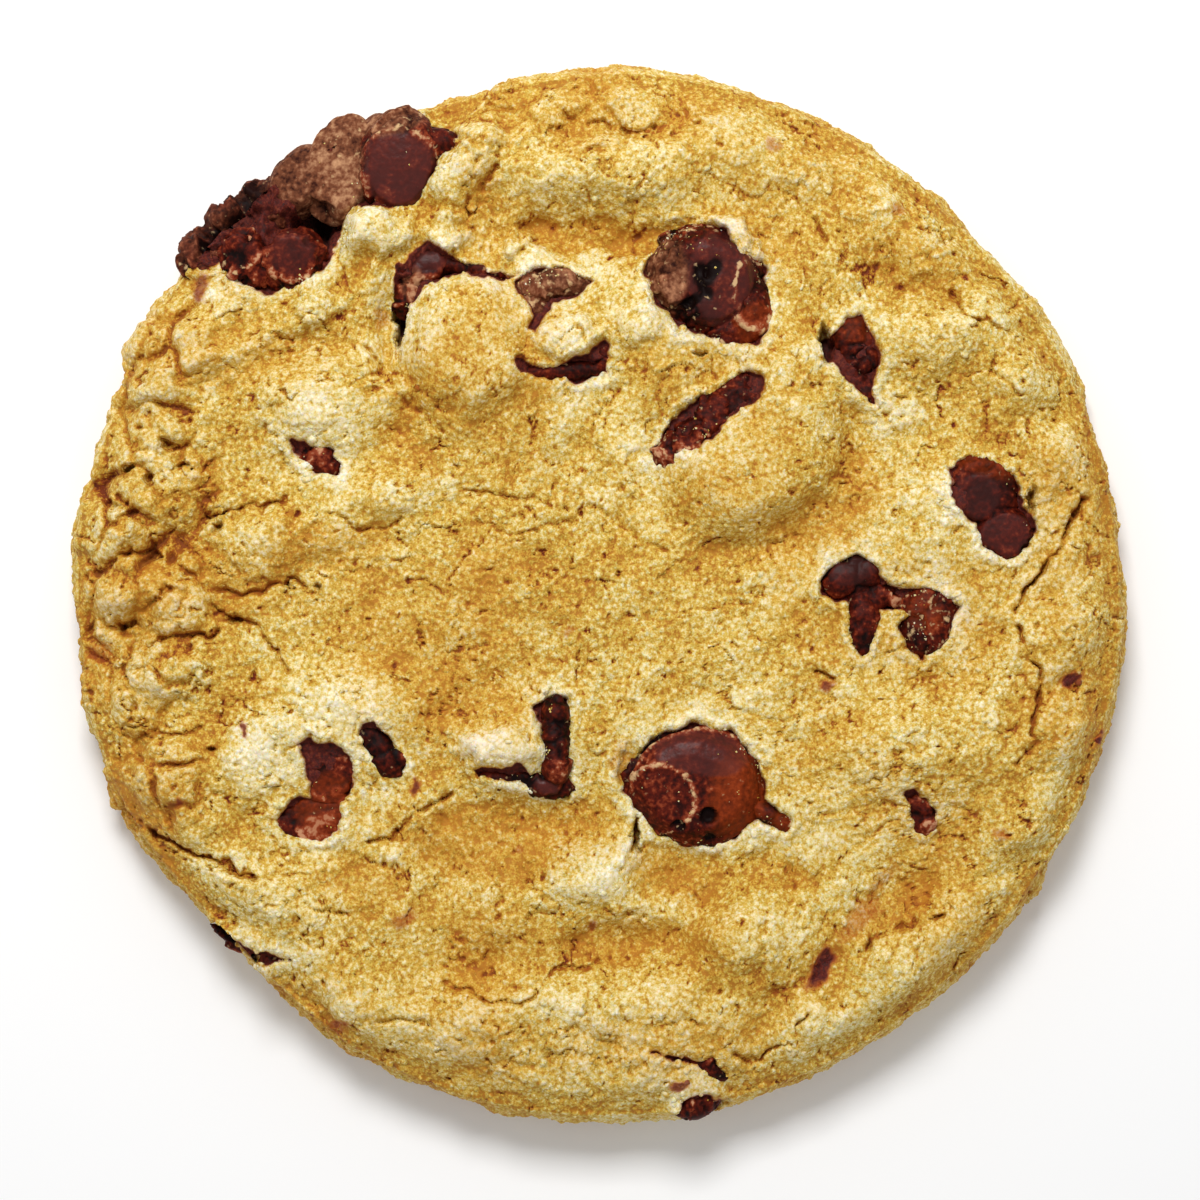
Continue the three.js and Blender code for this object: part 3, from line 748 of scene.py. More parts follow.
crumbly_places = between(-0.2, 0.5, ragged_noise(point, 4.5, 151))
beside_opening = between(-1.3, -0.3, frayed_depth)
crumbly = np.clip(0.2 + 0.4 * crumbly_places + 0.4 * roughness + 0.3 * floury + 0.4 * beside_opening, 0, 1)
crumbly = crumbly * (frayed_depth < 0.05) * (hollow < 0.5)
print("floury, on average:", floury.mean().round(3), "and crumbly:", crumbly.mean().round(3))

# %% Stain the dough
# Smears and stains that melted chocolate left in the dough: (x, y, half length, half width, turn, strength).
SMEARS = [
    (17.6, -29.6, 1.9, 0.9, 55, 1.0),
    (20.6, -25.6, 2.6, 0.9, 50, 0.35),
    (22.6, -22.6, 1.9, 0.6, 50, 0.25),
    (37, -6.8, 1.0, 0.6, 20, 0.9),
    (41.4, -7.3, 0.6, 0.5, 0, 0.9),
    (39.9, -11.4, 0.4, 0.4, 0, 0.9),
    (-0.5, -26.1, 0.6, 0.5, 30, 0.6),
    (18, -7.4, 0.8, 0.5, 0, 0.7),
    (-15.2, -25.8, 1.1, 0.8, 40, 0.45),
    (-2.4, -2.9, 0.6, 0.4, 0, 0.35),
    (13.8, 35.4, 0.6, 0.9, 0, 0.4),
    (23.6, 30.2, 0.6, 0.5, 0, 0.4),
    (31.6, -19, 0.6, 0.5, 0, 0.4),
    (-14.4, -15.4, 0.3, 0.9, -20, 0.7),
    (-20.5, -34.3, 0.9, 0.4, 10, 0.5),
    (29, 24.8, 0.3, 0.3, 0, 0.9),
    (6.4, -38.9, 0.9, 0.5, 0, 0.7),
    (-31.2, 24, 0.8, 1.3, 0, 0.6),
    (-39.3, -4.6, 1.1, 0.9, 0, 0.3),
    (-27.9, -10.9, 0.4, 0.6, 20, 0.7),
    (-32.5, -16.2, 0.5, 0.5, 0, 0.6),
    (-6.4, -20.5, 0.4, 0.3, 0, 0.4),
    (-17.2, 21.6, 0.5, 1.2, 0, 0.3),
    (-36.9, 20.8, 0.3, 0.8, -20, 0.8),
    (1.9, -13.3, 1.0, 1.5, 0, 0.22),
    (16.2, 38.9, 1.8, 0.3, -25, 0.8),
    (41.9, 5.2, 0.3, 0.8, 0, 0.8),
    (2.2, 42, 1.3, 0.3, 0, 0.8),
]


stain = np.maximum(ovals(x, y, SMEARS, 0.45), 1.3 * between(0.0, 0.3, frayed_depth))
print(len(SMEARS), "smears of chocolate")

# %% [markdown]
# ## Helpers for meshes and nodes
#
# Meshes are made from whole arrays at once, because a list of a hundred thousand vertices is slow to build
# one by one. Every node tree in this lesson is built with one small function, so a node's type, settings
# and inputs read as one statement. Colours are written as they look on a screen, and one function makes
# them linear.

# %% Helpers for colours and nodes
def colour(code, alpha=1.0):
    """A screen colour, written as six hexadecimal digits, as linear values."""
    values = [int(code[k:k + 2], 16) / 255 for k in (0, 2, 4)]
    linear = [v / 12.92 if v <= 0.04045 else ((v + 0.055) / 1.055) ** 2.4 for v in values]
    return (*linear, alpha)


def add(tree, kind, inputs=None, stops=None, **settings):
    """Adds a node. An input takes a value, or another node's output to be linked, and a ramp takes stops."""
    node = tree.nodes.new(kind)
    for name, value in settings.items():
        setattr(node, name, value)
    for name, value in (inputs or {}).items():
        if isinstance(value, bpy.types.NodeSocket):
            tree.links.new(value, node.inputs[name])
        else:
            node.inputs[name].default_value = value
    if stops:
        elements = node.color_ramp.elements
        while len(elements) < len(stops):
            elements.new(0.5)
        for element, (place, code) in zip(elements, stops):
            element.position = place
            element.color = colour(code)
    return node


print("flour is", [round(value, 3) for value in colour("f9f0d8")])

# %% Helpers for meshes

def new_piece(name, points, faces, attributes=None, normals=None):
    """A mesh object from arrays of points in millimetres and of faces with the same number of corners."""
    mesh = bpy.data.meshes.new(name)
    corners = faces.shape[1]
    mesh.vertices.add(len(points))
    mesh.vertices.foreach_set("co", (points * MM).astype(np.float32).ravel())
    mesh.loops.add(faces.size)
    mesh.loops.foreach_set("vertex_index", faces.astype(np.int32).ravel())
    mesh.polygons.add(len(faces))
    mesh.polygons.foreach_set("loop_start", np.arange(0, faces.size, corners, dtype=np.int32))
    mesh.update(calc_edges=True)
    mesh.polygons.foreach_set("use_smooth", np.ones(len(faces), dtype=bool))
    for key, values in (attributes or {}).items():
        layer = mesh.attributes.new(key, "FLOAT", "POINT")
        layer.data.foreach_set("value", values.astype(np.float32).ravel())
    if normals is not None:
        mesh.normals_split_custom_set_from_vertices(normals.tolist())
    piece = bpy.data.objects.new(name, mesh)
    bpy.context.scene.collection.objects.link(piece)
    return piece


def grid_faces(rows, columns):
    """Four-cornered faces over a grid of points that is stored row by row."""
    first = (np.arange(rows - 1)[:, None] * columns + np.arange(columns - 1)[None, :]).ravel()
    return np.stack([first, first + 1, first + columns + 1, first + columns], axis=1)


def hand_over(piece, nodes, material):
    """Gives a finished piece its material and its body, and hides the nodes that it stands for."""
    piece.data.materials.clear()
    piece.data.materials.append(material)
    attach(piece, "root")
    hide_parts(*nodes)
    return piece

# %% [markdown]
# ## Dough material
#
# Dough is matte, but not flat: it is a pile of pale grains with golden fat and sugar between them. One
# value, the tone, runs from the deepest crease to the palest crumb, and a colour ramp turns it into colour.
# Fine noise breaks the tone up below the size of the mesh, and the same noise gives the bump, so that
# colour and shape agree. A little light goes through the grains, which warms the creases.

# %% Values that materials share
def new_material(name):
    """An empty material: its tree, and its shader."""
    material = bpy.data.materials.new(name)
    material.use_nodes = True
    return material, material.node_tree, material.node_tree.nodes["Principled BSDF"]


def surface_values(tree, patterns, attributes):
    """Outputs by name: the place in millimetres, noise patterns, and the mesh's own attributes."""
    coordinates = add(tree, "ShaderNodeTexCoord").outputs["Object"]
    scaling = {0: coordinates, "Scale": 1 / MM}
    own = {"place": add(tree, "ShaderNodeVectorMath", scaling, operation="SCALE").outputs[0]}
    for name, size, detail, seed in patterns:
        inputs = {"Vector": own["place"], "W": seed, "Scale": 1 / size, "Detail": detail}
        own[name] = add(tree, "ShaderNodeTexNoise", inputs, noise_dimensions="4D").outputs["Fac"]
    for name in attributes:
        own[name] = add(tree, "ShaderNodeAttribute", attribute_name=name).outputs["Fac"]
    return own


def weighted(tree, start, terms):
    """start plus each (output, weight) term."""
    total = start
    for value, weight in terms:
        inputs = {0: value, 1: weight, 2: total}
        total = add(tree, "ShaderNodeMath", inputs, operation="MULTIPLY_ADD").outputs[0]
    return total


def painted_over(tree, tint, coats):
    """The tint with each (share, colour) coat laid over it in turn."""
    for share, coat in coats:
        tint = add(tree, "ShaderNodeMix", {0: share, 6: tint, 7: coat}, data_type="RGBA").outputs[2]
    return tint


# %% Material of the dough
# Baked dough has no gloss. Real flour grains are near 0.05 mm, too fine to show, so its specks are drawn
# three times as coarse or more.
DOUGH_PATTERNS = [
    # name, size of its features in millimetres, detail, seed
    ("speckle", 0.34, 3, 0.0),
    ("fleck", 0.15, 2, 13.0),
    ("blotch", 3.2, 3, 4.0),
    ("patch", 11, 2, 9.0),
]
GRAIN_SIZE = 0.42
DOUGH_RAMP = [
    (0.0, "6a1e02"),
    (0.12, "9c520c"),
    (0.26, "b98522"),
    (0.46, "d2ae45"),
    (0.62, "e1cc88"),
    (0.8, "eedfb2"),
    (1.0, "f9f0d8"),
]
STAIN_RAMP = [(0.35, "2a0602"), (0.52, "581206"), (0.8, "8e4426")]

# How much each value lightens or darkens the dough.
DOUGH_TONE = {
    # The relief values are partly painted light and shade: what stands out is paler, what lies low darker.
    "relief_fine": 0.08,
    "relief_wide": 0.11,
    "relief_broad": 0.02,
    "floury": 0.27,
    "baked": -0.16,
    "speckle": 0.8,
    "fleck": 0.9,
    "blotch": 0.62,
    "patch": 0.34,
    "grain": -0.42,
    "sugar": 0.05,
}
TONE_ATTRIBUTES = ["relief_fine", "relief_wide", "relief_broad", "floury", "baked", "sugar"]
DOUGH_ATTRIBUTES = [*TONE_ATTRIBUTES, "hollow", "stain", "void"]


def dough_tint(tree, own):
    """The dough's colour, from its tone, and the stains and voids over it."""
    tone = weighted(tree, -0.68, [(own[name], weight) for name, weight in DOUGH_TONE.items()])
    tone = add(tree, "ShaderNodeMath", {0: tone, 1: 0.2}, operation="MAXIMUM").outputs[0]
    # Painted shade: cracks, tears, holes and pores are darkened through the hollow value.
    tone = weighted(tree, tone, [(own["hollow"], -0.34)])
    tint = add(tree, "ShaderNodeValToRGB", {"Fac": tone}, DOUGH_RAMP).outputs["Color"]
    stain_grain = weighted(tree, 0.55, [(own["speckle"], 0.8)])
    stained = add(tree, "ShaderNodeMath", {0: own["stain"], 1: stain_grain}, operation="MULTIPLY").outputs[0]
    stronger = weighted(tree, 0.0, [(stained, 1.4)])
    stain_edge = add(tree, "ShaderNodeMath", {0: stronger, 1: 0.85}, operation="MINIMUM").outputs[0]
    core = {"Value": stained, "From Min": 0.4, "From Max": 0.8}
    stain_core = add(tree, "ShaderNodeMapRange", core).outputs[0]
    stain_tone = weighted(tree, 0.0, [(own["speckle"], 0.6), (own["fleck"], 0.4)])
    coats = [
        # Browning from baking, and painted shade in the valleys.
        (weighted(tree, 0.0, [(own["baked"], 0.5)]), colour("cb8620")),
        (stain_edge, colour("a5420f")),
        (stain_core, add(tree, "ShaderNodeValToRGB", {"Fac": stain_tone}, STAIN_RAMP).outputs["Color"]),
        # Painted shade: the holes are painted near black.
        (own["void"], colour("330a02")),
    ]
    return painted_over(tree, tint, coats)


def dough_material():
    """Baked dough, which reads the crust's attributes."""
    material, tree, shader = new_material("dough")
    own = surface_values(tree, DOUGH_PATTERNS, DOUGH_ATTRIBUTES)
    grains = {"Vector": own["place"], "Scale": 1 / GRAIN_SIZE}
    own["grain"] = add(tree, "ShaderNodeTexVoronoi", grains).outputs["Distance"]
    tree.links.new(dough_tint(tree, own), shader.inputs["Base Color"])
    height = weighted(tree, 0.0, [(own["speckle"], 0.5), (own["fleck"], 0.25), (own["grain"], -0.45)])
    bump = add(tree, "ShaderNodeBump", {"Height": height, "Strength": 0.7, "Distance": 0.16 * MM})
    tree.links.new(bump.outputs["Normal"], shader.inputs["Normal"])
    rough = add(tree, "ShaderNodeMapRange", {"Value": own["speckle"], "To Min": 0.62, "To Max": 0.95})
    tree.links.new(rough.outputs[0], shader.inputs["Roughness"])
    shader.inputs["Specular IOR Level"].default_value = 0.35
    shader.inputs["Subsurface Weight"].default_value = 0.3
    shader.inputs["Subsurface Radius"].default_value = (1.0, 0.55, 0.2)
    shader.inputs["Subsurface Scale"].default_value = 0.5 * MM
    return material


dough = dough_material()
print("dough:", len(dough.node_tree.nodes), "nodes")

# %% [markdown]
# ## The crust's top
#
# One mesh over the whole top would pass the size that a piece may have, so the fine grid is cut into four
# quarters. Their shared edges have the very same points, and the normals are worked out on the whole grid
# before it is cut. That way no seam shows where two quarters meet.

# %% Gather the attributes
TOP_ATTRIBUTES = {
    "relief_fine": relief_fine,
    "relief_wide": relief_wide,
    "relief_broad": relief_broad,
    "floury": floury,
    "baked": baked,
    # Painted shade: the cracks, tears and holes are darkened through this value.
    "hollow": np.clip(hollow + cut * 0.6 + 0.8 * void, 0, 1),
    # Painted shade in the deepest holes.
    "void": np.clip(void * 1.6 - 0.9, 0, 1),
    "stain": stain,
    "crumbly": crumbly,
}
print("attributes:", *TOP_ATTRIBUTES)

# %% Build the top
def grid_normals(points):
    """The normal at each point of a grid of points."""
    normals = np.cross(np.gradient(points, axis=1), np.gradient(points, axis=0))
    return normals / np.linalg.norm(normals, axis=2, keepdims=True)


def build_top():
    """The crust's top as four quarters that share their edges."""
    points = np.stack([x, y, top], axis=2)
    normals = grid_normals(points)
    half = TOP_CELLS // 2
    quarters = {
        "southwest": (slice(0, half + 1), slice(0, half + 1)),
        "southeast": (slice(0, half + 1), slice(half, None)),
        "northwest": (slice(half, None), slice(0, half + 1)),
        "northeast": (slice(half, None), slice(half, None)),
    }
    faces = grid_faces(half + 1, half + 1)
    pieces = []
    for side, cut_out in quarters.items():
        kept = {key: values[cut_out] for key, values in TOP_ATTRIBUTES.items()}
        corner_points = points[cut_out].reshape(-1, 3)
        corner_normals = normals[cut_out].reshape(-1, 3)
        piece = new_piece(f"crust_top_{side}", corner_points, faces, kept, corner_normals)
        pieces.append(hand_over(piece, [CRUST], dough))
    return points, normals, pieces


top_points, top_normals, top_pieces = build_top()
print(len(top_pieces), "quarters of", len(top_pieces[0].data.polygons), "faces")

# %% [markdown]
# ## The wall and the base
#
# The wall starts from the very points where the top ends, and rolls down to the tray. Near the top its
# relief stands up and lower down it stands out, so the direction turns as the rows go down. The base was
# flat against a baking tray, so it only has shallow pores, and it has baked darker.

# %% Profile of the wall
WALL_ROWS = 44
WAIST_AT = 0.62  # the waist's share of the way down the wall's rows
POCKET_DEPTH = 2.2  # how deep the wall's openings go


def ring_of(field):
    """The values round the edge of a grid, anticlockwise, with the first one repeated at the end."""
    south = field[0, :-1]
    east = field[:-1, -1]
    north = field[-1, :0:-1]
    west = field[:0:-1, 0]
    return np.concatenate([south, east, north, west, south[:1]])


def shoulder_rise(depth):
    """The shoulder's share of its full height, at a distance in from the edge."""
    return (1 - (1 - depth / SHOULDER_WIDTH) ** SHOULDER_POWER) ** (1 / SHOULDER_POWER)


def wall_profile(down, rim_height):
    """A wall row's inset and height, for its share of the way down from the top's edge to the foot."""
    if down < WAIST_AT:
        depth = WALL_INSET * (1 - down / WAIST_AT) ** 2
        rise = shoulder_rise(depth) / shoulder_rise(WALL_INSET)
        return depth, WAIST_HEIGHT + (rim_height - WAIST_HEIGHT) * rise
    turn = (1 - (down - WAIST_AT) / (1 - WAIST_AT)) * math.pi / 2
    return FOOT_INSET * (1 - math.sin(turn)), WAIST_HEIGHT * (1 - math.cos(turn)) * np.ones_like(rim_height)


# %% Build the wall
def build_wall():
    """The crust's wall, from the top's edge down to the base."""
    ring_angle = ring_of(angle)
    rim = edge_radius(ring_angle)
    rim_height = ring_of(form)
    rim_opening = ring_of(opening)
    rim_roughness = np.maximum(ring_of(roughness), 0.45)
    rim_push = ring_of(surface - form)
    rows = []
    keys = {key: [ring_of(values)] for key, values in TOP_ATTRIBUTES.items()}
    for row in range(1, WALL_ROWS + 1):
        down = row / WALL_ROWS
        depth, height = wall_profile(down, rim_height)
        radius = rim - depth
        wall_point = (radius * np.cos(ring_angle), radius * np.sin(ring_angle), height)
        raised_wall, hollow_wall = relief(wall_point, rim_roughness * (1 - 0.4 * down))
        raised_wall = raised_wall + 0.35 * ragged_noise(wall_point, 3.4, 191, 2)
        outward = math.sin(min(down / 0.3, 1) * math.pi / 2)
        upward = math.sqrt(1 - outward**2)
        settle = between(1.0, 0.86, down)
        joined = between(0.0, 0.2, down)
        push = (rim_push * (1 - joined) + (raised_wall - 0.35 * outward) * joined) * settle
        jog = [0.9 * ragged_noise(wall_point, 1.8, 221 + k, 3) for k in (0, 1)]
        pocket = between(-0.05, 0.3, depth_in_openings(wall_point[0] + jog[0], wall_point[1] + jog[1]))
        pocket = pocket * between(0.66, 0.5, down + 0.14 * ragged_noise(wall_point, 2.2, 225, 2))
        open_here = rim_opening * (1 - joined) + pocket * joined
        radius = radius + push * outward - POCKET_DEPTH * open_here
        px = radius * np.cos(ring_angle)
        py = radius * np.sin(ring_angle)
        pz = np.maximum(wall_point[2] + push * upward - POCKET_DEPTH * open_here, 0)
        rows.append(np.stack([px, py, pz], axis=1))
        fade = 1 - down
        # Painted light and shade: what stands out on the wall is painted paler, and its hollows darker.
        keys["relief_fine"].append(np.clip(raised_wall - raised_wall.mean(), -1, 1))
        keys["relief_wide"].append(np.clip(raised_wall - raised_wall.mean(), -1, 1))
        keys["relief_broad"].append(np.zeros_like(radius))
        keys["floury"].append(ring_of(floury) * fade)
        keys["baked"].append(np.clip(ring_of(baked) + 0.2 * down, 0, 1))
        keys["hollow"].append(hollow_wall * settle)
        keys["stain"].append(ring_of(stain) * (1 - joined) + 1.2 * open_here * joined)
        keys["void"].append(ring_of(TOP_ATTRIBUTES["void"]) * (1 - joined))
        keys["crumbly"].append(0.5 * ring_of(crumbly) * between(0.85, 0.7, down) * (1 - open_here))
    points = np.stack([ring_of(top_points), *rows])
    normals = -grid_normals(points)
    normals[0] = ring_of(top_normals)
    merged = {key: np.stack(values) for key, values in keys.items()}
    faces = grid_faces(*points.shape[:2])[:, ::-1]
    return new_piece("crust_wall", points.reshape(-1, 3), faces, merged, normals.reshape(-1, 3))


wall = hand_over(build_wall(), [CRUST], dough)
print("wall:", len(wall.data.polygons), "faces")

# %% Build the base
BASE_CELLS = 160


def build_base():
    """The flat base, with the shallow pores that a tray leaves."""
    base_share, base_angle = disc_grid(BASE_CELLS)
    radius = base_share * (edge_radius(base_angle) - FOOT_INSET)
    bx = radius * np.cos(base_angle)
    by = radius * np.sin(base_angle)
    level = np.zeros_like(bx)
    near, _, pore_share = cell_noise((bx, by, level), 2.4, 121)
    pores = np.where(pore_share > 0.45, np.exp(-((near / 0.3) ** 2)), 0)
    waves = np.clip(ragged_noise((bx, by, level), 6, 122), 0, 1)
    depth = (0.25 * pores + 0.12 * waves) * between(1, 0.96, base_share)
    # Painted shade: the pores are painted darker.
    keys = {"baked": 0.9 - 0.3 * base_share, "hollow": 0.3 * pores, "relief_fine": -0.4 * pores}
    points = np.stack([bx, by, depth], axis=2).reshape(-1, 3)
    return new_piece("crust_base", points, grid_faces(BASE_CELLS + 1, BASE_CELLS + 1)[:, ::-1], keys)


base = hand_over(build_base(), [CRUST], dough)
print("base:", len(base.data.polygons), "faces")

# %% [markdown]
# ## Chocolate material
#
# Chocolate that has been baked and has set again is dark red-brown, satin where it flowed and dull where it
# bloomed. Its colour runs through five browns by noise, and through three paler ones where it bloomed.
# Sharper noise powders it with flour, and those specks are pale. Where the attribute says glossy, the
# roughness drops and a paler violet-brown is painted on as a painted sheen. Creases are painted darker as
# painted shade, and ridges paler as painted highlights.

# %% Material of the chocolate
# Chocolate melted in the oven and set again without a mould, so it is satin and full of fine creases.
CHOCOLATE_PATTERNS = [
    # name, size of its features in millimetres, detail, seed
    ("cloud", 2.2, 4, 1.0),
    ("fine", 0.4, 3, 2.0),
    ("powder_noise", 0.55, 5, 6.0),
]
CHOCOLATE_RAMP = [(0.0, "0e0100"), (0.3, "330802"), (0.55, "571506"), (0.8, "8c3c20"), (1.0, "c08a66")]
BLOOMED_RAMP = [(0.1, "38140a"), (0.45, "7d4a30"), (0.9, "c89a72")]


def chocolate_tint(tree, own, powder):
    """The chocolate's colour: its browns with painted shade in creases and painted highlights on ridges, and
    warm, bloomed and powdered places and a painted sheen on glossy ones over them.
    """
    terms = [(own["cloud"], 0.9), (own["fine"], 1.5), (own["crease_shade"], -0.6), (own["ridge_highlight"], 0.5)]
    tone = weighted(tree, -0.74, terms)
    tint = add(tree, "ShaderNodeValToRGB", {"Fac": tone}, CHOCOLATE_RAMP).outputs["Color"]
    bloomed_tone = weighted(tree, -0.6, [(own["cloud"], 0.8), (own["fine"], 1.4), (own["crease_shade"], -0.4)])
    warmth = add(tree, "ShaderNodeMath", {0: own["warm"], 1: own["fine"]}, operation="MULTIPLY").outputs[0]
    coats = [
        (warmth, colour("8e3508")),
        # Painted sheen: the glossy places are painted a paler violet-brown.
        (weighted(tree, 0.0, [(own["gloss_and_sheen"], 0.6)]), colour("5a2b27")),
        (own["bloom"], add(tree, "ShaderNodeValToRGB", {"Fac": bloomed_tone}, BLOOMED_RAMP).outputs["Color"]),
        (weighted(tree, 0.0, [(powder, 0.8)]), colour("d9b584")),
    ]
    return painted_over(tree, tint, coats)


def chocolate_material():
    """Set chocolate, which reads the chips' attributes."""
    material, tree, shader = new_material("chocolate")
    own = surface_values(tree, CHOCOLATE_PATTERNS, ["gloss_and_sheen", "bloom", "crease_shade", "ridge_highlight", "warm", "dust"])
    terms = [(own["powder_noise"], 1.0), (own["dust"], 0.16), (own["gloss_and_sheen"], -0.06)]
    powdered = {"Value": weighted(tree, 0.0, terms), "From Min": 0.7, "From Max": 0.82}
    powder = add(tree, "ShaderNodeMapRange", powdered).outputs[0]
    tree.links.new(chocolate_tint(tree, own, powder), shader.inputs["Base Color"])
    terms = [(own["gloss_and_sheen"], -0.28), (own["bloom"], 0.25), (own["fine"], 0.2), (powder, 0.3)]
    rough = {0: weighted(tree, 0.5, terms), 1: 1.0}
    rough = add(tree, "ShaderNodeMath", rough, operation="MINIMUM").outputs[0]
    tree.links.new(rough, shader.inputs["Roughness"])
    height = weighted(tree, 0.0, [(own["fine"], 0.6), (powder, 0.5), (own["cloud"], 0.5)])
    bump = add(tree, "ShaderNodeBump", {"Height": height, "Strength": 0.5, "Distance": 0.15 * MM})
    tree.links.new(bump.outputs["Normal"], shader.inputs["Normal"])
    shader.inputs["Specular IOR Level"].default_value = 0.1
    return material


chocolate = chocolate_material()
print("chocolate:", len(chocolate.node_tree.nodes), "nodes")

# %% [markdown]
# ## Chocolate pieces
#
# Each piece keeps its solid's place and form, but its surface is finer. The solid is remeshed into small
# even cells, which also rounds its facets off, and noise then breaks it into lumps and creases. Some pieces
# have a mark of their own, such as a pit or a raised ring, and those are added by place from one short
# list.

# %% Finish of each piece
# The shares of bloom, of cragginess and of dust. A piece that isn't listed has none, 1 and a trace.
BLOOM = {"chip_edge_slab": 0.85, "chip_edge_nugget": 0.7, "chip_dusted": 0.55, "chip_edge_crumbled": 0.25}
CRAGS = {
    "chip_edge_crumbled": 3.0,
    "chip_edge_curl": 2.2,
    "chip_edge_nugget": 0.6,
    "chip_edge_slab": 0.5,
    "chip_dusted": 1.5,
    "chip_long_sliver": 1.8,
    "chip_wedge": 1.5,
    "chip_pitted": 1.3,
    "chip_boot": 1.2,
}
FULLNESS = 0.35  # how far the dressed chocolate swells past its solid, to meet the ragged dough
EXTRA_FULLNESS = {
    "chip_edge_slab": 0.7,
    "chip_edge_nugget": 0.8,
    "chip_edge_crumbled": 0.3,
    "chip_wall_west": -0.6,
}

# Pieces with one broken flat face: (x, y, height there, slope along x, slope along y).
FACES = {
    "chip_edge_slab": (-20.3, 33.4, 8.3, 0.13, -0.21),
    "chip_edge_nugget": (-20.3, 33.4, 8.3, 0.13, -0.21),
    "chip_edge_cap": (-15.3, 33, 10.1, -0.05, 0.12),
    "chip_edge_curl": (-26, 26.6, 9.5, 0.05, 0.25),
    "chip_pitted": (8.3, 24.6, 10.8, -0.06, 0.12),
    "chip_round_disc": (7.6, -15.1, 10.2, 0.0, 0.05),
    "chip_dusted": (-3.6, 23, 9.1, 0.0, 0.1),
    "chip_boot": (-22, -15.5, 8.6, 0.0, 0.04),
    "chip_two_lobed": (31, 7, 9.2, 0.02, 0.06),
}
DUST = {
    "chip_dusted": 1.0,
    "chip_pitted": 0.5,
    "chip_rounded": 0.8,
    "chip_edge_slab": 0.5,
    "chip_edge_crumbled": 0.4,
    "chip_edge_cap": 0.35,
    "chip_round_disc": 0.3,
    "chip_long_sliver": 0.4,
}
print(len(CRAGS), "craggy pieces and", len(FACES), "with a flat face")

# %% Marks on the chocolate
# Marks on chocolate: (kind, x, y, half length, half width, turn, amount). A gloss mark makes its oval glossy
# and lays a painted sheen on it, and a bloom mark changes the finish inside its oval. Warm tints it orange,
# smooth takes its creases and their painted shade away, and a pit lowers it and fills it with painted shade.
# A ring lowers a line round it and gives the line painted shade, or raises one where its amount is below 0
# and gives that line a painted highlight and dust. An arc is a ring's upper half.
MARKS = [
    ("pit", -22.3, 29.2, 1.5, 2.2, -20, 2.5),
    ("pit", -28.2, 29.4, 1.8, 1.0, 20, 2.2),
    ("pit", -26.2, 30.6, 0.8, 0.6, 0, 1.5),
    ("pit", -30.4, 28.2, 0.7, 0.9, 0, 1.4),
    ("gloss_and_sheen", -15.3, 33.1, 2.7, 3.0, 40, 1.0),
    ("ring", -15.3, 33.1, 2.8, 3.1, 40, -0.3),
    ("bloom", -16.6, 37.2, 3.4, 1.5, 5, 0.75),
    ("bloom", -18.6, 34, 0.8, 3.2, 0, 0.6),
    ("gloss_and_sheen", -24, 26.6, 1.7, 1.3, 35, 0.6),
    ("ring", -24, 26.6, 1.9, 1.5, 35, -0.35),
    ("ring", -28.2, 26.8, 1.6, 1.2, 35, -0.35),
    ("pit", -26.3, 27.8, 0.7, 1.3, 0, 1.6),
    ("pit", -27.6, 30.6, 1.3, 0.6, 40, 1.6),
    ("pit", -31, 26.9, 0.5, 0.9, 0, 1.2),
    ("gloss_and_sheen", -13, 26.2, 1.6, 0.9, 20, 0.8),
    ("bloom", -14.2, 23.6, 0.9, 1.6, 0, 0.5),
    ("pit", 8.3, 24.1, 0.8, 1.6, 20, 2.2),
    ("pit", 9.1, 25.2, 0.6, 1.0, -30, 1.2),
    ("pit", 7.2, 22.6, 1.2, 0.6, 30, 0.9),
    ("bloom", 5.4, 24.8, 1.6, 2.8, 0, 0.55),
    ("gloss_and_sheen", 9.6, 24.6, 2.6, 3.6, 0, 0.8),
    ("ring", 12.2, 23.5, 1.7, 2.6, 0, -0.3),
    ("warm", 12.2, 21.2, 1.6, 1.6, 0, 0.7),
    ("smooth", 7.5, -15, 5.4, 4.9, 0, 0.7),
    ("smooth", 4.9, -16.2, 2.6, 2.3, 10, 0.9),
    ("ring", 4.9, -16.2, 2.8, 2.5, 10, -0.3),
    ("arc", 7.5, -15, 5.0, 4.45, 17, 1.0),
    ("arc", 7.5, -15, 4.45, 3.9, 17, -0.3),
    ("gloss_and_sheen", 8.2, -12.8, 3.4, 1.6, -10, 0.9),
    ("warm", 10.9, -16, 2.4, 3.4, 0, 1.0),
    ("warm", 14.5, -18.2, 1.2, 1.2, 0, 0.8),
    ("pit", 6.5, -18.2, 0.6, 0.5, 0, 0.8),
    ("pit", 8.7, -17.5, 0.6, 0.55, 0, 0.8),
    ("pit", 8.8, -19.1, 0.4, 0.3, 0, 0.6),
    ("gloss_and_sheen", 29.7, 7.6, 1.8, 1.8, 0, 0.5),
    ("gloss_and_sheen", 32.1, 4.6, 1.7, 1.5, 0, 0.6),
    ("warm", 30, 10.2, 3, 1.0, -15, 0.7),
    ("gloss_and_sheen", -4, -15.1, 0.8, 0.4, -10, 1.0),
    ("gloss_and_sheen", 20.2, 1.6, 1.8, 1.0, 15, 0.5),
    ("warm", -21.5, -16.5, 2.5, 2.5, 0, 0.7),
    ("warm", -6, 23.5, 2.4, 1.6, 0, 0.4),
    ("warm", 20.3, 20.8, 1.4, 1.2, 0, 0.5),
    ("warm", 25.8, -1.8, 1.4, 1.4, 0, 0.6),
]


print(len(MARKS), "marks")

# %% Remesh a solid finely
CHIP_CELL = 0.2


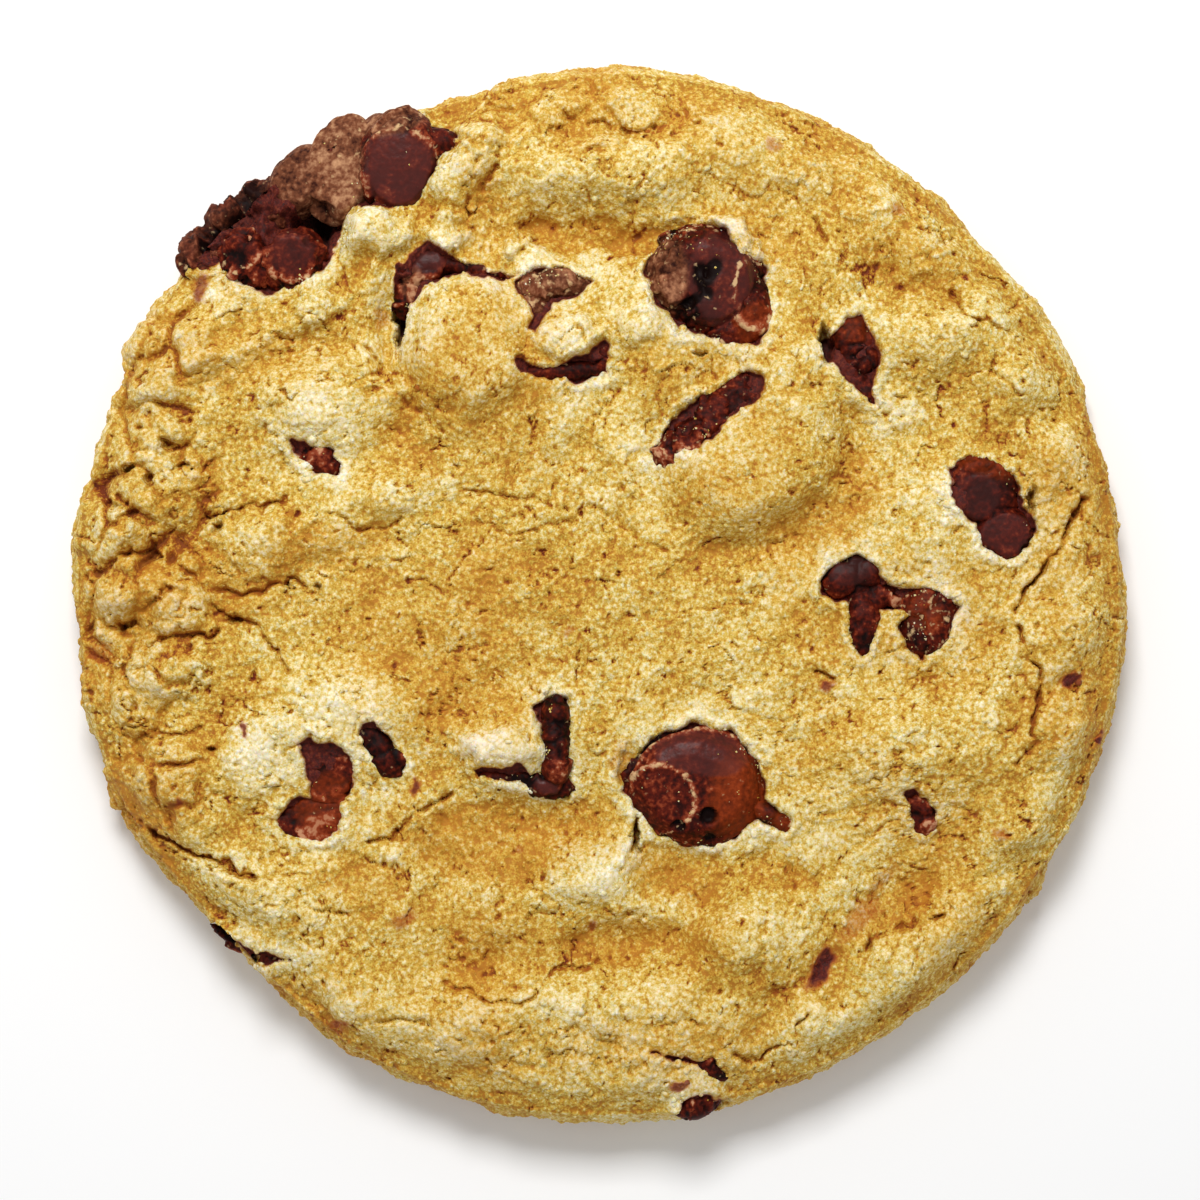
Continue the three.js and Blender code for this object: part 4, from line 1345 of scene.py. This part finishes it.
def fine_copy(node):
    """The node's solid, remeshed into small even cells: its points in millimetres, and its faces."""
    copy = bpy.data.objects.new("fine_copy", node.data.copy())
    bpy.context.scene.collection.objects.link(copy)
    remesh = copy.modifiers.new("cells", "REMESH")
    remesh.mode = "VOXEL"
    remesh.voxel_size = CHIP_CELL * MM
    smooth = copy.modifiers.new("rounding", "SMOOTH")
    smooth.iterations = 8
    smooth.factor = 0.5
    depsgraph = bpy.context.evaluated_depsgraph_get()
    mesh = copy.evaluated_get(depsgraph).to_mesh()
    points = np.empty(len(mesh.vertices) * 3)
    mesh.vertices.foreach_get("co", points)
    normals = np.empty_like(points)
    mesh.vertices.foreach_get("normal", normals)
    faces = np.empty(len(mesh.polygons) * 4, dtype=int)
    mesh.polygons.foreach_get("vertices", faces)
    old_mesh = copy.data
    bpy.data.objects.remove(copy)
    bpy.data.meshes.remove(old_mesh)
    return points.reshape(-1, 3) / MM, normals.reshape(-1, 3), faces.reshape(-1, 4)

# %% Relief of the chocolate
def chip_relief(point, crags):
    """How far the chocolate stands out at each point, and how open its cracks are."""
    bent = [p + 0.35 * ragged_noise(point, 1.3, 137 + k, 2) for k, p in enumerate(point)]
    wide_face, wide_edge = facet_noise(bent, 3.0, 133)
    small_face, small_edge = facet_noise(bent, 1.3, 171)
    fine = ragged_noise(point, 0.5, 136, 2)
    folds = ragged_noise(point, 2.2, 131, 3)
    seam = np.exp(-((small_edge / 0.1) ** 2)) * between(0.0, 0.5, smooth_noise(point, 1.7, 181))
    wide_seam = np.exp(-((wide_edge / 0.06) ** 2)) * between(-0.3, 0.3, smooth_noise(point, 2.6, 183))
    seam = np.maximum(seam, wide_seam)
    ridged = 0.5 - np.abs(ragged_noise(bent, 2.4, 201, 4))
    raised = 0.75 * wide_face * between(0.3, 1.1, crags) + 0.3 * (crags - 0.5) * small_face
    raised = raised + 0.12 * folds * crags + 0.045 * fine * crags + 0.6 * np.clip(crags - 1, 0, 2) * ridged
    return raised - 0.22 * crags * seam, seam * min(crags, 1.6) / 1.6


# %% Build the chocolate pieces
FACE_FLATNESS = 0.8
TRACE_OF_DUST = 0.12


def build_chip(name):
    """A finely shaped piece of chocolate in the place of its solid."""
    points, normals, faces = fine_copy(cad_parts[name])
    point = tuple(points.T)
    crags = CRAGS.get(name, 1.0)
    push, crease_shade = chip_relief(point, crags)
    # Painted shade: creases, cracks, pits and sunken places are painted darker.
    crease_shade = np.maximum(crease_shade, np.clip(-push / (0.5 * crags), 0, 1))
    # Painted highlight: raised ridges are painted paler.
    ridge_highlight = between(0.12 * crags, 0.4 * crags, push)
    gloss_and_sheen = np.zeros(len(points))
    warm = np.zeros(len(points))
    bloom = np.full(len(points), BLOOM.get(name, 0.0))
    crust_line = np.zeros(len(points))
    pitted = np.zeros(len(points))
    facing_up = np.clip(normals[:, 2], 0, 1)
    for kind, cx, cy, length, width, turn, amount in MARKS:
        cos, sin = math.cos(math.radians(turn)), math.sin(math.radians(turn))
        along = ((point[0] - cx) * cos + (point[1] - cy) * sin) / length
        across = ((point[1] - cy) * cos - (point[0] - cx) * sin) / width
        reach = np.hypot(along, across) + 0.3 / min(length, width) * ragged_noise(point, 1.4, 141)
        covered = amount * between(1.05, 0.85, reach)
        if kind == "gloss_and_sheen":
            gloss_and_sheen = np.maximum(gloss_and_sheen, covered)
            push = push * (1 - 0.75 * covered)
        elif kind == "smooth":
            push = push * (1 - covered)
            crease_shade = crease_shade * (1 - covered)
        elif kind == "bloom":
            bloom = np.maximum(bloom, amount * between(1.2, 0.8, reach))
        elif kind == "warm":
            warm = np.maximum(warm, amount * between(1.2, 0.7, reach))
        elif kind == "pit":
            deep = between(1.15, 0.5, reach) * facing_up
            push = push - amount * deep
            crease_shade = np.maximum(crease_shade, 1.6 * deep)
            pitted = np.maximum(pitted, between(0.1, 0.6, deep))
        else:
            line = np.exp(-(((reach - 1) * min(length, width) / 0.2) ** 2)) * facing_up
            if kind == "arc":
                line = line * between(0.1, 0.35, across)
            push = push - amount * line
            crease_shade = np.maximum(crease_shade, line if amount > 0 else 0)
            ridge_highlight = np.maximum(ridge_highlight, line if amount < 0 else 0)
            crust_line = np.maximum(crust_line, line if amount < 0 else 0)
    fullness = FULLNESS + EXTRA_FULLNESS.get(name, 0.0)
    points = points + normals * (push + fullness)[:, None]
    if name in FACES:
        cx, cy, level, slope_x, slope_y = FACES[name]
        over = points[:, 2] - level - slope_x * (points[:, 0] - cx) - slope_y * (points[:, 1] - cy)
        points[:, 2] -= FACE_FLATNESS * np.clip(over, 0, None)
    points[:, 2] = kept_low(points[:, 2])
    depth = depth_in_openings(point[0], point[1])
    dust = np.clip(DUST.get(name, TRACE_OF_DUST) + 0.5 * between(1.0, 0.1, depth), 0, 1) + 1.2 * crust_line
    dusty_places = between(0.15, 0.5, ragged_noise(point, 1.8, 153))
    keys = {
        "gloss_and_sheen": gloss_and_sheen * (1 - pitted),
        "bloom": bloom * (1 - pitted),
        "warm": warm * (1 - pitted),
        "crease_shade": crease_shade,
        "ridge_highlight": ridge_highlight,
        "dust": dust,
        "crumbly": dust * dusty_places * facing_up * (1 - 0.7 * gloss_and_sheen) * (depth > -0.4),
        "floury": 0.8 * dust,
    }
    print(name, len(points), "points")
    piece = new_piece(name.replace("chip", "chocolate"), points, faces, keys)
    return hand_over(piece, [name], chocolate)


chip_pieces = [build_chip(name) for name in CHIPS]

# %% [markdown]
# ## Loose crumbs
#
# A heightfield can't have grains that stand free, and those grains are what makes a cookie look crumbly. So
# crumbs are scattered over the crust by Geometry Nodes: points by density, a small ragged lump on each,
# random in size and turn. The points copy the crust's own attributes, so each crumb has the paleness of the
# place where it lies. Each scatter is then baked into a plain mesh, because the export drops instances.

# %% Shape a lump
def ragged_lump(name, seed, subdivisions):
    """A small lump to scatter, one millimetre across."""
    shape = bmesh.new()
    bmesh.ops.create_icosphere(shape, subdivisions=subdivisions, radius=0.5)
    points = tuple(np.array([vertex.co for vertex in shape.verts]).T)
    swelling = 1 + 0.35 * smooth_noise(points, 0.45, seed)
    for vertex, swell in zip(shape.verts, swelling):
        vertex.co *= swell * MM
    mesh = bpy.data.meshes.new(name)
    shape.to_mesh(mesh)
    shape.free()
    mesh.polygons.foreach_set("use_smooth", [subdivisions > 1] * len(mesh.polygons))
    sugar = mesh.attributes.new("sugar", "FLOAT", "POINT")
    sugar.data.foreach_set("value", [1.0] * len(mesh.vertices))
    return bpy.data.objects.new(name, mesh)


# %% Lay lumps on a surface
SUNK_SHARE = 0.3  # how deep a lump sits, as a share of its size


def scatter_group():
    """A node group that lays lumps on a surface, as densely as the surface's attribute crumbly says."""
    group = bpy.data.node_groups.new("scatter_crumbs", "GeometryNodeTree")
    group.interface.new_socket("Geometry", in_out="OUTPUT", socket_type="NodeSocketGeometry")
    for label, kind in [
        ("Surface", "Object"),
        ("Lump", "Object"),
        ("Material", "Material"),
        ("Density", "Float"),
        ("Smallest", "Float"),
        ("Largest", "Float"),
        ("Seed", "Int"),
    ]:
        group.interface.new_socket(label, in_out="INPUT", socket_type=f"NodeSocket{kind}")
    given = add(group, "NodeGroupInput").outputs
    surface = add(group, "GeometryNodeObjectInfo", {"Object": given["Surface"]}).outputs["Geometry"]
    wanted = {"Name": "crumbly"}
    wanted = add(group, "GeometryNodeInputNamedAttribute", wanted, data_type="FLOAT").outputs[0]
    density = {0: given["Density"], 1: wanted}
    density = add(group, "ShaderNodeMath", density, operation="MULTIPLY").outputs[0]
    spread_inputs = {"Mesh": surface, "Density": density, "Seed": given["Seed"]}
    spread = add(group, "GeometryNodeDistributePointsOnFaces", spread_inputs).outputs
    lump = add(group, "GeometryNodeObjectInfo", {"Object": given["Lump"]}).outputs["Geometry"]
    sizes = {"Min": given["Smallest"], "Max": given["Largest"], "Seed": given["Seed"]}
    size = add(group, "FunctionNodeRandomValue", sizes, data_type="FLOAT").outputs[1]
    stretches = {"Min": (0.75,) * 3, "Max": (1.2,) * 3}
    stretch = add(group, "FunctionNodeRandomValue", stretches, data_type="FLOAT_VECTOR").outputs[0]
    scale = add(group, "ShaderNodeVectorMath", {0: stretch, "Scale": size}, operation="SCALE").outputs[0]
    turns = {"Max": (2 * math.pi,) * 3}
    turn = add(group, "FunctionNodeRandomValue", turns, data_type="FLOAT_VECTOR").outputs[0]
    depth = add(group, "ShaderNodeMath", {0: size, 1: -SUNK_SHARE * MM}, operation="MULTIPLY").outputs[0]
    inward = {0: spread["Normal"], "Scale": depth}
    inward = add(group, "ShaderNodeVectorMath", inward, operation="SCALE").outputs[0]
    sinking = {"Geometry": spread["Points"], "Offset": inward}
    sunk = add(group, "GeometryNodeSetPosition", sinking).outputs[0]
    laying = {"Points": sunk, "Instance": lump, "Rotation": turn, "Scale": scale}
    laid = add(group, "GeometryNodeInstanceOnPoints", laying).outputs[0]
    real = add(group, "GeometryNodeRealizeInstances", {"Geometry": laid}).outputs[0]
    painting = {"Geometry": real, "Material": given["Material"]}
    painted = add(group, "GeometryNodeSetMaterial", painting).outputs[0]
    add(group, "NodeGroupOutput", {"Geometry": painted})
    return group


crumb_group = scatter_group()
print("scatter group:", len(crumb_group.nodes), "nodes")

# %% Bake a scatter
def scattered(name, surface, lump, density, smallest, largest, seed):
    """A baked scatter of a lump over a surface, which takes the lump away."""
    piece = bpy.data.objects.new(name, bpy.data.meshes.new(name))
    bpy.context.scene.collection.objects.link(piece)
    modifier = piece.modifiers.new("scatter", "NODES")
    modifier.node_group = crumb_group
    values = {
        "Surface": surface,
        "Lump": lump,
        "Material": dough,
        "Density": density,
        "Smallest": smallest,
        "Largest": largest,
        "Seed": seed,
    }
    for socket in crumb_group.interface.items_tree:
        if socket.name in values:
            modifier[socket.identifier] = values[socket.name]
    depsgraph = bpy.context.evaluated_depsgraph_get()
    mesh = bpy.data.meshes.new_from_object(piece.evaluated_get(depsgraph), depsgraph=depsgraph)
    piece.modifiers.clear()
    piece.data = mesh
    bpy.data.objects.remove(lump)
    print(name, len(mesh.polygons), "triangles")
    return hand_over(piece, [CRUST], dough)


def gathered(name, pieces, keys):
    """One mesh object with the points, faces and attributes of several pieces."""
    points, faces = [], []
    values = {key: [] for key in keys}
    first = 0
    for mesh in (piece.data for piece in pieces):
        place = np.empty(len(mesh.vertices) * 3)
        mesh.vertices.foreach_get("co", place)
        corners = np.empty(len(mesh.polygons) * 4, dtype=int)
        mesh.polygons.foreach_get("vertices", corners)
        points.append(place.reshape(-1, 3) / MM)
        faces.append(corners.reshape(-1, 4) + first)
        first += len(mesh.vertices)
        for key in keys:
            value = np.empty(len(mesh.vertices))
            mesh.attributes[key].data.foreach_get("value", value)
            values[key].append(value)
    merged = {key: np.concatenate(parts) for key, parts in values.items()}
    return new_piece(name, np.concatenate(points), np.concatenate(faces), merged)


def crumbly_area(bed):
    """The bed's area, counted as far as its attribute crumbly wants lumps."""
    wanted = np.empty(len(bed.data.vertices))
    bed.data.attributes["crumbly"].data.foreach_get("value", wanted)
    return sum(face.area for face in bed.data.polygons) * wanted.mean()

# %% Scatter the crumbs
SCATTERS = [
    # name, lump's subdivisions, smallest and largest size, number on the crust, seed
    ("sugar_grains_a", 1, 0.16, 0.34, 9000, 3),
    ("sugar_grains_b", 1, 0.16, 0.34, 9000, 8),
    ("sugar_grains_c", 1, 0.2, 0.42, 9000, 15),
    ("crumbs", 2, 0.4, 0.85, 1500, 21),
]

bed = gathered("crumb_bed", [*top_pieces, wall], list(TOP_ATTRIBUTES))
for name, subdivisions, smallest, largest, count, seed in SCATTERS:
    lump = ragged_lump(f"{name}_lump", seed, subdivisions)
    scattered(name, bed, lump, count / crumbly_area(bed), smallest, largest, seed)
bpy.data.objects.remove(bed)

# %% Scatter flour and sugar over the chocolate
DUST_COUNT = 420
DUST_SIZES = (0.08, 0.3)

bed = gathered("dust_bed", chip_pieces, ["crumbly", "floury"])
lump = ragged_lump("dust_lump", 27, 1)
scattered("dust_on_chocolate", bed, lump, DUST_COUNT / crumbly_area(bed), *DUST_SIZES, 5)
bpy.data.objects.remove(bed)

# %% [markdown]
# ## Floor, light and camera
#
# The reference looks straight down on white. The floor is a plain pale sheet. A broad soft light stands
# high at the far side, so the near sides of the lumps are shaded, and a pale sky fills the shadows. The
# camera has a long lens and looks straight down, framed as the reference is.

# %% Lay the floor
FLOOR_SIZE = 1200
FLOOR_LEVEL = -0.02  # just clear of the base


def build_floor():
    """A plain pale floor."""
    half = FLOOR_SIZE / 2
    signs = [(-1, -1), (1, -1), (1, 1), (-1, 1)]
    corners = np.array([(half * a, half * b, FLOOR_LEVEL) for a, b in signs])
    floor = new_piece("floor", corners, np.array([[0, 1, 2, 3]]))
    material, _, shader = new_material("floor")
    shader.inputs["Base Color"].default_value = colour("fbfbfb")
    shader.inputs["Roughness"].default_value = 0.9
    floor.data.materials.append(material)


build_floor()
print("floor:", FLOOR_SIZE, "mm wide")

# %% Light the cookie
KEY_PLACE = (-30, 185, 305)
KEY_SIZE = 110
KEY_POWER = 0.98
SKY_STRENGTH = 0.49


def add_area_light(name, place, size, power):
    """A square soft light at a place, facing the cookie."""
    lamp = bpy.data.lights.new(name, "AREA")
    lamp.size = size * MM
    lamp.energy = power
    light = bpy.data.objects.new(name, lamp)
    light.location = Vector(place) * MM
    light.rotation_euler = (-light.location).to_track_quat("-Z", "Y").to_euler()
    bpy.context.scene.collection.objects.link(light)


def build_world(strength):
    """A pale sky that fills the shadows."""
    world = bpy.data.worlds.new("studio")
    world.use_nodes = True
    background = world.node_tree.nodes["Background"]
    background.inputs["Color"].default_value = colour("ffffff")
    background.inputs["Strength"].default_value = strength
    bpy.context.scene.world = world


add_area_light("key", KEY_PLACE, KEY_SIZE, KEY_POWER)
build_world(SKY_STRENGTH)
print("key light", round(math.dist(KEY_PLACE, (0, 0, 0))), "mm away")

# %% Set the camera
FRAME_WIDTH = 96.05  # how much of the cookie's plane the reference shows
FRAME_CENTRE = (0.16, -0.6)
PLANE_HEIGHT = 4.0
LENS = 100.0
SENSOR = 36.0


def build_camera():
    """The camera straight above the cookie."""
    lens = bpy.data.cameras.new("camera")
    lens.lens = LENS
    lens.sensor_width = SENSOR
    lens.clip_start = 0.01
    camera = bpy.data.objects.new("camera", lens)
    distance = LENS / SENSOR * FRAME_WIDTH
    camera.location = Vector((*FRAME_CENTRE, PLANE_HEIGHT + distance)) * MM
    bpy.context.scene.collection.objects.link(camera)
    bpy.context.scene.camera = camera


build_camera()
print("camera", round(LENS / SENSOR * FRAME_WIDTH), "mm above the cookie")
bpy.context.scene.view_settings.view_transform = "Standard"

# %% [markdown]
# ## Sizes, and the end
#
# The dressed cookie may pass the solids' box only by a small share of its size, as crumbs and grains do. A
# small helper gives a box's two corners as plain lists.

# %% A helper for a box's corners
def corners(box):
    """A box's two corners as plain lists."""
    return [list(corner) for corner in box]
